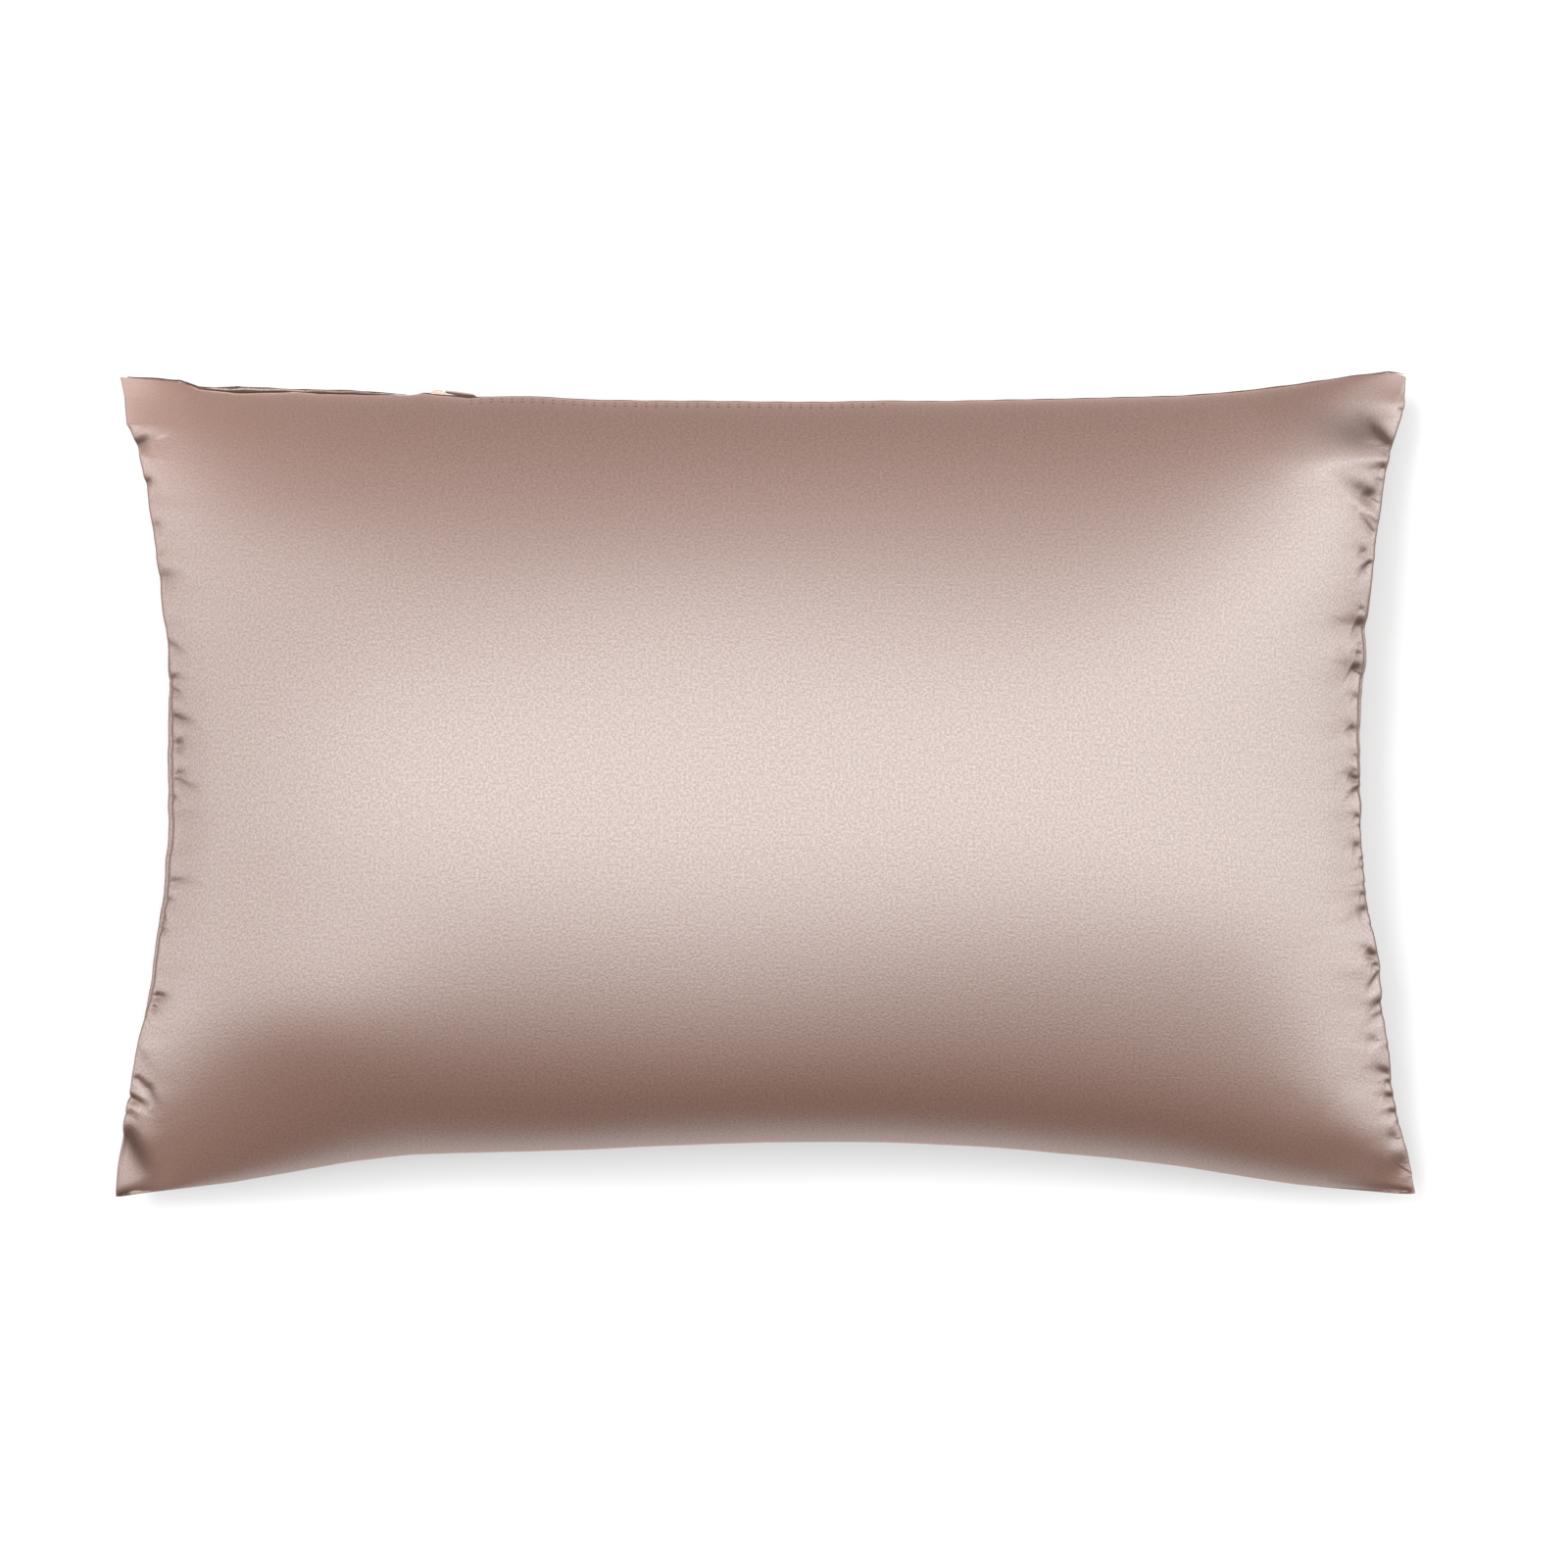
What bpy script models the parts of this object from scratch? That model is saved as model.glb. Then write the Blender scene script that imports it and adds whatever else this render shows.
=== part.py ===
"""A satin pillowcase, filled, lying on its back.

Metres, +Z up. The back rests on Z = 0 with the origin under the middle of the case.
+X runs along the long sides, and +Y points to the long side that holds the concealed zip.

The case is one length of satin, folded along its near long side, sewn up both short sides
and closed along the far long side by a seam with a concealed zip. Filled, it is one solid:
two crowned faces that meet in a thin seam ridge, with drawn-in sides, flat corner ears and
the folds that run in from the gathered side seams. The zip shows only as its slider and pull.
"""

import math

import bmesh
import bpy
from mathutils import Matrix, Vector

# ---- driving sizes ---------------------------------------------------------------------

# Corner tips of the filled case, seen from above: (x, y).
NEAR_LEFT = Vector((-0.3702, -0.2341))
NEAR_RIGHT = Vector((0.3702, -0.2335))
FAR_LEFT = Vector((-0.3674, 0.2330))
FAR_RIGHT = Vector((0.3666, 0.2341))

# How far each side is drawn in between its tips by the filling: a half wave along the side
# (bow), a whole wave that leans it to one end (lean) and one and a half waves (flat).
DRAWN_IN_COLUMNS = ("start", "end", "bow", "lean", "flat")
DRAWN_IN = {
    "near": (NEAR_LEFT, NEAR_RIGHT, 0.0297, 0.0006, 0.0002),
    "far": (FAR_LEFT, FAR_RIGHT, 0.0165, -0.0013, 0.0013),
    "left": (NEAR_LEFT, FAR_LEFT, 0.0278, -0.0029, -0.0008),
    "right": (NEAR_RIGHT, FAR_RIGHT, 0.0274, -0.0008, -0.0003),
}

# The seam ridge: its thickness, and its width on the three sewn sides. The near side is a
# fold in the cloth and has no ridge.
SEAM_THICKNESS = 0.0024
RIDGE_WIDTH = 0.0036

# Heights. The seam line is highest at the middle of each side, and the corner ears droop.
SEAM_HEIGHT = 0.060
TIP_HEIGHT = 0.026
FRONT_CROWN = 0.085
BACK_CROWN = 0.078

# The filling doesn't reach into the corners, which stay flat out to about this far.
EAR_LENGTH = 0.032

# How softly the back's curve runs into the flat on which it rests.
REST_BLEND = 0.005

# How late the crowns drop to the side seams, which they meet at a slant, and how square they
# are across the case: 2 is an ellipse.
SHOULDER = 4.4
SQUARENESS = 2.15

# How much squarer across they get towards each corner, and how late that sets in.
SQUARER_COLUMNS = ("toward_x", "toward_y", "added", "lateness")
SQUARER = (
    (-1, -1, -1.0, 8),
    (1, -1, 21.0, 12),
    (-1, 1, 6.0, 8),
    (1, 1, 4.0, 4),
)

# Folds that run in from the side seams. along is the share of the side from its near end,
# reach is how far a fold runs in, and slant is how far it drifts to the far end per metre in.
FOLD_COLUMNS = ("side", "along", "depth", "half_width", "reach", "slant")
FOLDS = (
    ("right", 0.070, 0.0062, 0.0085, 0.046, -0.50),
    ("right", 0.235, 0.0040, 0.0070, 0.030, -0.10),
    ("right", 0.345, 0.0040, 0.0080, 0.032, 0.00),
    ("right", 0.500, 0.0040, 0.0080, 0.028, 0.10),
    ("right", 0.643, 0.0044, 0.0085, 0.036, 0.10),
    ("right", 0.700, 0.0044, 0.0080, 0.030, 0.15),
    ("right", 0.778, 0.0046, 0.0075, 0.044, 0.60),
    ("right", 0.850, 0.0068, 0.0090, 0.064, 0.55),
    ("right", 0.912, 0.0070, 0.0090, 0.082, -0.20),
    ("left", 0.050, 0.0060, 0.0085, 0.045, -0.90),
    ("left", 0.125, 0.0050, 0.0085, 0.038, 0.30),
    ("left", 0.245, 0.0042, 0.0080, 0.036, 0.00),
    ("left", 0.383, 0.0040, 0.0085, 0.048, 0.10),
    ("left", 0.505, 0.0036, 0.0080, 0.040, -0.25),
    ("left", 0.580, 0.0044, 0.0090, 0.046, -0.30),
    ("left", 0.672, 0.0042, 0.0085, 0.038, -0.30),
    ("left", 0.752, 0.0056, 0.0090, 0.050, -0.10),
    ("left", 0.866, 0.0046, 0.0085, 0.032, -0.10),
    ("left", 0.920, 0.0062, 0.0090, 0.040, 0.35),
)

# Shares of a fold's depth: how far it lifts the back, lowers the seam and notches the side.
# FOLD_START is how far from the seam a fold takes to reach its full depth.
BACK_FOLD = 0.6
SEAM_FOLD = 0.35
SIDE_NOTCH = 0.22
FOLD_START = 0.006

# Cells of the cloth along the case and across it, and how much finer they are at the sides:
# 0 is even and 1 is a cosine spacing.
LENGTH_CELLS = 34
LENGTH_TAPER = 0.88
WIDTH_CELLS = 62
WIDTH_TAPER = 0.45

# The zip's slider and its teardrop pull, which lies along the far seam.
ZIP_ALONG = 0.2465
ZIP_GAP = 0.0003
SLIDER_LENGTH = 0.0078
SLIDER_DEPTH = 0.0030
SLIDER_HEIGHT = 0.0052
SLIDER_NOSE = 0.55
PULL_LENGTH = 0.0180
PULL_WIDTH = 0.0044
PULL_NECK = 0.0018
PULL_THICKNESS = 0.0010
EDGE_ROUNDING = 0.0004

SATIN_COLOUR = (0.42, 0.27, 0.22, 1.0)
ZIP_COLOUR = (0.62, 0.46, 0.40, 1.0)


# ---- the case seen from above ----------------------------------------------------------


def outline_point(side, along):
    """The point at this share of a side, from its start to its end."""
    start, end, bow, lean, flat = DRAWN_IN[side]
    run = (end - start).normalized()
    inward = Vector((-run.y, run.x))
    if inward.dot(start + end) > 0:
        inward = -inward
    waves = (bow, lean, flat)
    drawn = sum(size * math.sin((n + 1) * math.pi * along) for n, size in enumerate(waves))
    return start.lerp(end, along) + inward * drawn


def plan_point(across, up):
    """Where a point of the flat cut lies in the filled case, seen from above.

    across and up are its shares of the cut's length and width. The four drawn-in sides
    are blended as a Coons patch.
    """
    between_long = outline_point("near", across).lerp(outline_point("far", across), up)
    between_short = outline_point("left", up).lerp(outline_point("right", up), across)
    corners = NEAR_LEFT.lerp(NEAR_RIGHT, across).lerp(FAR_LEFT.lerp(FAR_RIGHT, across), up)
    return between_long + between_short - corners


def fold_depth(point):
    """How deep the folds from the side seams are at this point, seen from above."""
    depth = 0.0
    for side, along, deepest, half_width, reach, slant in FOLDS:
        root = outline_point(side, along)
        if root.x * point.x <= 0:
            continue
        run_in = abs(point.x - root.x)
        off_line = (point.y - root.y - slant * run_in) / half_width
        fade = max(0.0, 1 - run_in / reach)
        depth += deepest * fade**1.5 * math.exp(-(off_line**2))
    return depth


# ---- heights ---------------------------------------------------------------------------


def inner_share(share, near_ridge, far_ridge):
    """A share of the whole case as a share of what lies inside the seam ridge."""
    return min(1.0, max(0.0, (share - near_ridge) / (1 - near_ridge - far_ridge)))


def squareness_at(along_x, along_y):
    """How square the crowns are across the case, at shares from -1 to 1 off its middle."""
    squareness = SQUARENESS
    for toward_x, toward_y, added, lateness in SQUARER:
        if toward_x * along_x > 0:
            toward = 0.5 + 0.5 * math.tanh(4 * toward_y * along_y)
            squareness += added * abs(along_x) ** lateness * toward
    return squareness


def crown(across, up, point):
    """A face's share of its full height, which is 0 on the seam ridge."""
    side_ridge, far_ridge = ridge_shares()
    along_x = 2 * inner_share(across, side_ridge, side_ridge) - 1
    along_y = 2 * inner_share(up, 0.0, far_ridge) - 1
    along_case = 1 - abs(along_x) ** SHOULDER
    across_case = math.sqrt(1 - abs(along_y) ** squareness_at(along_x, along_y))
    tips = (NEAR_LEFT, NEAR_RIGHT, FAR_LEFT, FAR_RIGHT)
    from_tip = min((point - tip).length for tip in tips)
    filled = 1 - math.exp(-((from_tip / EAR_LENGTH) ** 2))
    return along_case * across_case * filled


def seam_height(across, up):
    """The height of the seam line, carried on over the middle of the case."""
    cornering = (2 * across - 1) ** 2 * (2 * up - 1) ** 2
    return SEAM_HEIGHT + (TIP_HEIGHT - SEAM_HEIGHT) * cornering


def rest_on_floor(height):
    """A hanging height made flat where it would pass below the floor, with a soft bend."""
    if height <= -REST_BLEND:
        return 0.0
    if height < REST_BLEND:
        return (height + REST_BLEND) ** 2 / (4 * REST_BLEND)
    return height


def cloth_point(across, up, on_front):
    """Where a point of the front or the back cloth lies in space."""
    point = plan_point(across, up)
    fold = fold_depth(point)
    side_ridge, _ = ridge_shares()
    from_side = min(across, 1 - across) - side_ridge
    started = min(1.0, max(0.0, from_side * (FAR_RIGHT.x - FAR_LEFT.x) / FOLD_START))
    seam = seam_height(across, up) - SEAM_FOLD * fold * (1 - started)
    if on_front:
        raised = FRONT_CROWN * crown(across, up, point)
        pressed = min(fold * started, 0.7 * raised)
        height = seam + SEAM_THICKNESS / 2 + raised - pressed
    else:
        sunk = BACK_CROWN * crown(across, up, point)
        pressed = min(BACK_FOLD * fold * started, 0.7 * sunk)
        height = rest_on_floor(seam - SEAM_THICKNESS / 2 - sunk + pressed)
    notched = point.x - math.copysign(SIDE_NOTCH * fold, point.x)
    return Vector((notched, point.y, height))


def ridge_shares():
    """The seam ridge's width as a share of the case's length, and of its width."""
    length = FAR_RIGHT.x - FAR_LEFT.x
    width = FAR_LEFT.y - NEAR_LEFT.y
    return RIDGE_WIDTH / length, RIDGE_WIDTH / width


def stations(cells, taper, start_ridge, end_ridge):
    """Shares from 0 to 1: each ridge is one cell, and cells are finer towards the ends."""
    before = [0.0] if start_ridge else []
    after = [1.0] if end_ridge else []
    inside = cells - len(before) - len(after)
    shares = []
    for i in range(inside + 1):
        even = i / inside
        bunched = (1 - math.cos(math.pi * even)) / 2
        share = even + (bunched - even) * taper
        shares.append(start_ridge + (1 - start_ridge - end_ridge) * share)
    return before + shares + after


# ---- the pieces ------------------------------------------------------------------------


def finish(name, colour, roughness, metallic):
    """A plain material for one kind of piece."""
    material = bpy.data.materials.new(name)
    material.use_nodes = True
    shader = material.node_tree.nodes["Principled BSDF"]
    shader.inputs["Base Color"].default_value = colour
    shader.inputs["Roughness"].default_value = roughness
    shader.inputs["Metallic"].default_value = metallic
    return material


def add_piece(name, mesh, collection, material):
    """An object of this mesh, in the collection and with the material."""
    piece = bpy.data.objects.new(name, mesh)
    collection.objects.link(piece)
    mesh.materials.append(material)
    return piece


def make_case(collection, material):
    """The filled case: a grid as the back cloth, and its copy above as the front cloth."""
    side_ridge, far_ridge = ridge_shares()
    across_at = stations(LENGTH_CELLS, LENGTH_TAPER, side_ridge, side_ridge)
    up_at = stations(WIDTH_CELLS, WIDTH_TAPER, 0.0, far_ridge)
    bm = bmesh.new()
    bmesh.ops.create_grid(bm, x_segments=LENGTH_CELLS, y_segments=WIDTH_CELLS, size=0.5)
    raised = bmesh.ops.extrude_face_region(bm, geom=bm.faces[:])["geom"]
    front = {vert for vert in raised if isinstance(vert, bmesh.types.BMVert)}
    for vert in bm.verts:
        across = across_at[round((vert.co.x + 0.5) * LENGTH_CELLS)]
        up = up_at[round((vert.co.y + 0.5) * WIDTH_CELLS)]
        vert.co = cloth_point(across, up, vert in front)
    bmesh.ops.recalc_face_normals(bm, faces=bm.faces[:])
    mesh = bpy.data.meshes.new("case")
    bm.to_mesh(mesh)
    bm.free()
    mesh.shade_smooth()
    mesh.set_sharp_from_angle(angle=math.radians(50))
    return add_piece("case", mesh, collection, material)


def zip_frame():
    """Where the zip's slider sits: X along the far seam, Y out of the case and Z up."""
    root = outline_point("far", ZIP_ALONG)
    run = outline_point("far", ZIP_ALONG + 0.02) - root
    place = Matrix.Translation((root.x, root.y, seam_height(ZIP_ALONG, 1.0)))
    return place @ Matrix.Rotation(math.atan2(run.y, run.x), 4, "Z")


def make_slider(collection, material):
    """The slider's body: a small block that narrows to its nose, set against the seam."""
    bm = bmesh.new()
    bmesh.ops.create_cube(bm, size=1.0)
    for vert in bm.verts:
        narrowing = SLIDER_NOSE if vert.co.x < 0 else 1.0
        vert.co.x *= SLIDER_LENGTH
        vert.co.y = (vert.co.y + 0.5) * SLIDER_DEPTH + ZIP_GAP
        vert.co.z *= SLIDER_HEIGHT * narrowing
    mesh = bpy.data.meshes.new("zip_slider")
    bm.to_mesh(mesh)
    bm.free()
    slider = add_piece("zip_slider", mesh, collection, material)
    slider.matrix_world = zip_frame()
    bevel = slider.modifiers.new("rounded_edges", "BEVEL")
    bevel.width = EDGE_ROUNDING
    bevel.segments = 2
    bevel.limit_method = "ANGLE"


def pull_outline(collection):
    """The pull's flat teardrop as a filled curve, with its neck at the origin."""
    outline = bpy.data.curves.new("zip_pull_outline", "CURVE")
    outline.dimensions = "2D"
    outline.fill_mode = "BOTH"
    outline.extrude = PULL_THICKNESS / 2
    outline.resolution_u = 8
    spline = outline.splines.new("BEZIER")
    spline.use_cyclic_u = True
    neck, broad = PULL_NECK / 2, PULL_WIDTH / 2
    shoulder = PULL_LENGTH - broad
    places = ((0, -neck), (shoulder, -broad), (PULL_LENGTH, 0), (shoulder, broad), (0, neck))
    spline.bezier_points.add(len(places) - 1)
    for bezier, place in zip(spline.bezier_points, places):
        bezier.co = (*place, 0)
        bezier.handle_left_type = bezier.handle_right_type = "AUTO"
    for end in (spline.bezier_points[0], spline.bezier_points[-1]):
        end.handle_left_type = end.handle_right_type = "VECTOR"
    flat = bpy.data.objects.new("zip_pull_outline", outline)
    collection.objects.link(flat)
    return flat


def make_pull(collection, material):
    """The pull: a flat teardrop that lies along the seam, its neck at the slider."""
    flat = pull_outline(collection)
    graph = bpy.context.evaluated_depsgraph_get()
    mesh = bpy.data.meshes.new_from_object(flat.evaluated_get(graph))
    bpy.data.objects.remove(flat)
    bm = bmesh.new()
    bm.from_mesh(mesh)
    bmesh.ops.remove_doubles(bm, verts=bm.verts[:], dist=1e-6)
    bmesh.ops.recalc_face_normals(bm, faces=bm.faces[:])
    bm.to_mesh(mesh)
    bm.free()
    mesh.materials.clear()
    pull = add_piece("zip_pull", mesh, collection, material)
    beside_slider = SLIDER_LENGTH / 2 + ZIP_GAP
    off_seam = ZIP_GAP + PULL_THICKNESS / 2
    stand_up = Matrix.Rotation(math.pi / 2, 4, "X")
    place = Matrix.Translation((beside_slider, off_seam, 0))
    pull.matrix_world = zip_frame() @ place @ stand_up


def main():
    for old in list(bpy.data.objects):
        bpy.data.objects.remove(old)
    collection = bpy.data.collections.new("pillowcase")
    bpy.context.scene.collection.children.link(collection)
    satin = finish("satin", SATIN_COLOUR, roughness=0.42, metallic=0.0)
    zip_metal = finish("zip_metal", ZIP_COLOUR, roughness=0.3, metallic=0.9)
    make_case(collection, satin)
    make_slider(collection, zip_metal)
    make_pull(collection, zip_metal)


main()
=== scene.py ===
import math

import bmesh
import bpy
import numpy as np
from bpy.props import FloatProperty, FloatVectorProperty, IntProperty, PointerProperty
from bpy.types import Operator, Panel, PropertyGroup
from mathutils import Matrix, Vector


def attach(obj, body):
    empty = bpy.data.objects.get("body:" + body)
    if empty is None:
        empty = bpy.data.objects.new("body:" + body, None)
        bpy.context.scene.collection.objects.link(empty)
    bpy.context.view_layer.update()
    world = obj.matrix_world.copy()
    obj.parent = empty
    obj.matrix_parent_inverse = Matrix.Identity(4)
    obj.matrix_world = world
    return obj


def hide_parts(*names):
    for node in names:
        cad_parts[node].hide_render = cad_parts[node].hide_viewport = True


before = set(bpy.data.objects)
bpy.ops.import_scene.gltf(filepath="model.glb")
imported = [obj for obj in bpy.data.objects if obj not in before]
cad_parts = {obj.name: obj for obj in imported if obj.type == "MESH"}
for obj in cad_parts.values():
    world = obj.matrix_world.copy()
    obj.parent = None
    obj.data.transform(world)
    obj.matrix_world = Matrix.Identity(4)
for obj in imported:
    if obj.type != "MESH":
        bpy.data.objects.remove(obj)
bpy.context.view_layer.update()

bl_info = {
    "name": "Satin pillowcase",
    "version": (1, 0, 0),
    "blender": (4, 5, 0),
    "location": "3D View > Sidebar > Pillowcase",
    "description": "Builds a filled satin pillowcase with gathered seams and a concealed zip",
    "category": "Add Mesh",
}

MM = 0.001

# ---- the case's outline, as the frame has it -------------------------------------------


def corner_tip(toward_x, toward_y):
    """The frame's own corner tip on this side, seen from above."""
    points = [vert.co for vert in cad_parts["case"].data.vertices]
    tip = max(points, key=lambda point: toward_x * point.x + toward_y * point.y)
    return np.array((tip.x, tip.y))


NEAR_LEFT = corner_tip(-1, -1)
NEAR_RIGHT = corner_tip(1, -1)
FAR_LEFT = corner_tip(-1, 1)
FAR_RIGHT = corner_tip(1, 1)

# How far the filling draws each side in between its tips, in millimetres: half a wave along
# the side (bow), a whole wave (lean), one and a half waves (flat), two (sway) and two and a
# half (ripple).
# Columns: start, end, bow, lean, flat, sway, ripple.
DRAWN_IN = {
    "near": (NEAR_LEFT, NEAR_RIGHT, 29.7, 0.6, 0.2, 1.5, -1.0),
    "far": (FAR_LEFT, FAR_RIGHT, 16.5, -1.3, 1.3, 0.0, 0.4),
    "left": (NEAR_LEFT, FAR_LEFT, 27.8, -2.9, -0.8, -1.1, -0.7),
    "right": (NEAR_RIGHT, FAR_RIGHT, 27.4, -0.8, -0.3, 0.2, 0.5),
}

# How far inside those waves each side lies, in millimetres, at shares of its length. Below 0
# it bulges outwards, as the flat ears at the corners do.
# Columns: along, trim.
TRIM = {
    "left": (
        (0.000, -2.4), (0.034, -2.6), (0.082, -1.5), (0.129, -0.2), (0.20, 0.0), (0.273, 0.6),
        (0.321, -1.0), (0.369, 0.4), (0.465, 0.3), (0.513, -0.1), (0.56, -1.0), (0.609, 0.7),
        (0.657, 0.0), (0.753, -0.6), (0.80, -0.4), (0.85, 0.1), (0.905, -0.5), (0.925, -1.8),
        (0.940, -4.0), (0.955, -3.4), (0.975, -2.2), (1.0, -2.4),
    ),
    "right": (
        (0.000, -2.4), (0.034, -2.2), (0.060, -1.2), (0.090, 0.0), (0.135, 0.3), (0.176, -0.7),
        (0.225, 0.0), (0.272, -1.3), (0.32, -0.8), (0.355, 1.3), (0.41, 1.4), (0.463, -0.6),
        (0.511, -0.5), (0.559, -0.9), (0.607, -0.4), (0.655, -2.0), (0.695, 0.4), (0.75, -0.1),
        (0.80, 1.0), (0.86, 1.3), (0.905, 1.2), (0.925, -0.8), (0.945, -1.8), (0.965, -1.9),
        (1.0, -0.9),
    ),
    "far": (
        (0.0, 0.0), (0.03, -0.4), (0.06, 0.0), (0.13, -1.2), (0.18, -1.3), (0.2257, 0.7),
        (0.236, -0.5), (0.2465, 0.4), (0.2525, 0.5), (0.2625, 1.0), (0.2716, 1.6),
        (0.2777, 1.1), (0.285, 0.4), (0.3175, -0.3), (0.363, 1.0), (0.41, 0.8), (0.455, 0.3),
        (0.547, 0.3), (0.593, -0.3), (0.639, 0.4), (0.685, 0.2), (0.777, 0.7), (0.8225, 1.4),
        (0.868, 1.0), (0.914, -0.4), (0.96, -2.1), (0.985, -2.5), (1.0, -0.3),
    ),
    "near": (
        (0.0, -2.6), (0.02, -1.8), (0.09, -2.1), (0.136, -0.6), (0.18, 1.4), (0.227, 2.1),
        (0.272, 0.7), (0.318, -0.2), (0.363, -0.2), (0.41, 0.9), (0.454, 1.6), (0.50, 1.9),
        (0.59, 1.1), (0.635, 0.3), (0.726, 0.3), (0.77, 1.4), (0.817, 1.9), (0.862, 0.9),
        (0.908, -0.6), (0.953, -0.8), (0.983, -1.3), (1.0, -1.3),
    ),
}
# How far in from a side the cloth takes its trim up, in metres.
TRIM_REACH = 0.026

# How far each seam lies inside the outline, in millimetres, at shares of its side. Outside
# the seam the back cloth rolls into view.
# Columns: along, inset.
SEAM_INSET = {
    "left": (
        (0.00, 0.4), (0.06, 0.7), (0.20, 1.2), (0.24, 3.0), (0.34, 3.4), (0.46, 4.0),
        (0.58, 3.6), (0.66, 2.0), (0.72, 1.0), (0.86, 0.8), (1.00, 0.4),
    ),
    "right": (
        (0.00, 0.4), (0.08, 0.9), (0.22, 1.0), (0.34, 1.6), (0.42, 1.8), (0.53, 3.2),
        (0.60, 4.4), (0.68, 4.0), (0.75, 2.0), (0.86, 0.9), (1.00, 0.4),
    ),
    "far": (
        (0.000, 0.3), (0.045, 0.8), (0.060, 4.6), (0.088, 6.2), (0.11, 5.6), (0.134, 4.2),
        (0.155, 4.4), (0.19, 3.4), (0.225, 1.0), (0.30, 1.0), (0.60, 0.9), (1.000, 0.3),
    ),
}

# How much of the back cloth each seam's roll takes up; a steep side needs less. The roll also
# drops by a share of its width.
ROLL_GAIN = {"left": 1.35, "right": 0.95, "far": 0.5}
ROLL_DROP = 0.35

# Corner tips, as the side of the case that each is on, with the radius of its bend in
# millimetres.
# Columns: toward_x, toward_y, radius.
BLUNT_TIPS = ((-1, -1, 6.0), (1, -1, 6.0), (-1, 1, 3.0), (1, 1, 9.0))
# How far a tip moves in, and how much of the cloth beside it follows, as shares of the radius.
TIP_MOVE = 0.4
TIP_REACH = 0.5

# How a side seam wavers, in millimetres: how far, how often along the side and from where.
# Columns: size, count, start_at.
SEAM_WAVER = ((0.30, 57, 1.1), (0.22, 103, 0.4), (0.14, 191, 2.0))

# How sharply the near corners' shape gives way to the far ones'.
SQUARER_CHANGEOVER = 4.0
# How much squarer across the case is towards each corner, and how late that sets in.
# Columns: toward_x, toward_y, added, lateness.
SQUARER = ((-1, -1, -1.0, 8), (1, -1, 21.0, 12), (-1, 1, 0.8, 8), (1, 1, 4.0, 4))

# The folded lips over the zip and the far seam's sewn edge, each a thin roll beside the seam:
# at shares of the side, how far outside the seam it lies, how high above it and how thick it
# is there, in millimetres. The gap between the lips, the outer edge and the tape under the
# pull are rolls painted dark to stand for the shade there, the seam's edge is painted darker
# as its shade, and the front lip is painted paler as its highlight.
# Columns: along, out, up, size.
FRONT_LIP = (
    (0.046, 0.0, 0.0, 0.1), (0.060, 0.0, 0.5, 1.0), (0.100, 0.1, 0.6, 1.1),
    (0.155, 0.0, 0.4, 0.8), (0.175, -0.2, -0.2, 0.1),
)
GAP = (
    (0.048, 0.1, -0.4, 0.1), (0.068, 1.0, -0.2, 1.1), (0.088, 1.8, -0.2, 1.5),
    (0.112, 1.9, -0.2, 1.7), (0.134, 0.9, -0.3, 0.9), (0.150, 1.1, -0.3, 1.2),
    (0.175, 0.6, -0.2, 0.8), (0.212, 0.2, -0.3, 0.1),
)
BACK_LIP = (
    (0.050, 0.5, -0.4, 0.1), (0.070, 1.6, 0.1, 1.2), (0.088, 2.8, 0.2, 1.9),
    (0.112, 2.7, 0.1, 1.8), (0.134, 1.3, 0.0, 1.4), (0.152, 1.9, 0.0, 1.6),
    (0.190, 1.3, 0.0, 1.3), (0.214, 0.3, -0.4, 0.1),
)
OUTER_EDGE = (
    (0.004, 0.1, 0.2, 0.5), (0.020, 0.2, 0.3, 0.9), (0.040, 0.3, 0.3, 1.1),
    (0.057, 1.3, 0.0, 1.1), (0.072, 2.2, -0.2, 1.0), (0.084, 3.3, 0.0, 1.1),
    (0.090, 3.7, 0.2, 1.9), (0.101, 3.8, -0.1, 1.0), (0.114, 3.2, -0.2, 1.0),
    (0.134, 1.8, -0.3, 0.8), (0.154, 2.5, -0.3, 0.8), (0.193, 1.9, -0.3, 0.7),
    (0.222, 0.3, -0.3, 0.3),
)
TAPE = (
    (0.232, 0.0, -0.6, 0.2), (0.240, 0.2, -0.4, 1.1), (0.277, 0.2, -0.4, 1.0),
    (0.285, 0.0, -0.6, 0.2),
)
SEAM_EDGE = (
    (0.285, 0.0, -0.3, 0.2), (0.340, 0.1, 0.0, 0.6), (0.700, 0.1, 0.0, 0.7),
    (0.860, 0.2, 0.0, 0.8), (0.960, 0.3, 0.0, 1.0), (0.990, 0.2, 0.0, 0.9),
    (0.998, 0.0, 0.0, 0.2),
)
# Columns: how much shade is painted on the roll, below 0 for a painted highlight that makes it
# paler than the cloth, and its way.
LIPS = (
    (0.8, SEAM_EDGE), (-1.0, FRONT_LIP), (1.0, GAP), (0.0, BACK_LIP), (1.0, OUTER_EDGE),
    (1.0, TAPE),
)
# How a roll's way wavers: by which share of its thickness, how often along the side, and how
# far the darkness shifts it, outwards and upwards.
LIP_WAVER_OUT = (0.12, 211, 9)
LIP_WAVER_UP = (0.15, 337, 5)
# How many stations and sides each roll has, its height as a share of its width, and by which
# share of the far side it looks ahead for its direction.
LIP_STATIONS = 220
LIP_SIDES = 12
LIP_FLATNESS = 0.8
LIP_AHEAD = 0.001
# Where the rolls' cloth lies on the flat cut: the shift keeps it clear of the seams' thread and
# their painted shade.
LIP_CUT_SHIFT = -0.1

# Rows of stitches beside the far seam, in millimetres of flat cloth: where each starts and
# ends along the case, how far it is from the seam, and its stitches' pitch and size.
# Columns: start, end, distance, pitch, size_along, size_across.
STITCH_ROWS = (
    (-165, 66, 12.0, 5.6, 2.4, 3.2),
    (-160, 60, 17.5, 5.6, 2.4, 3.2),
)

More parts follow.
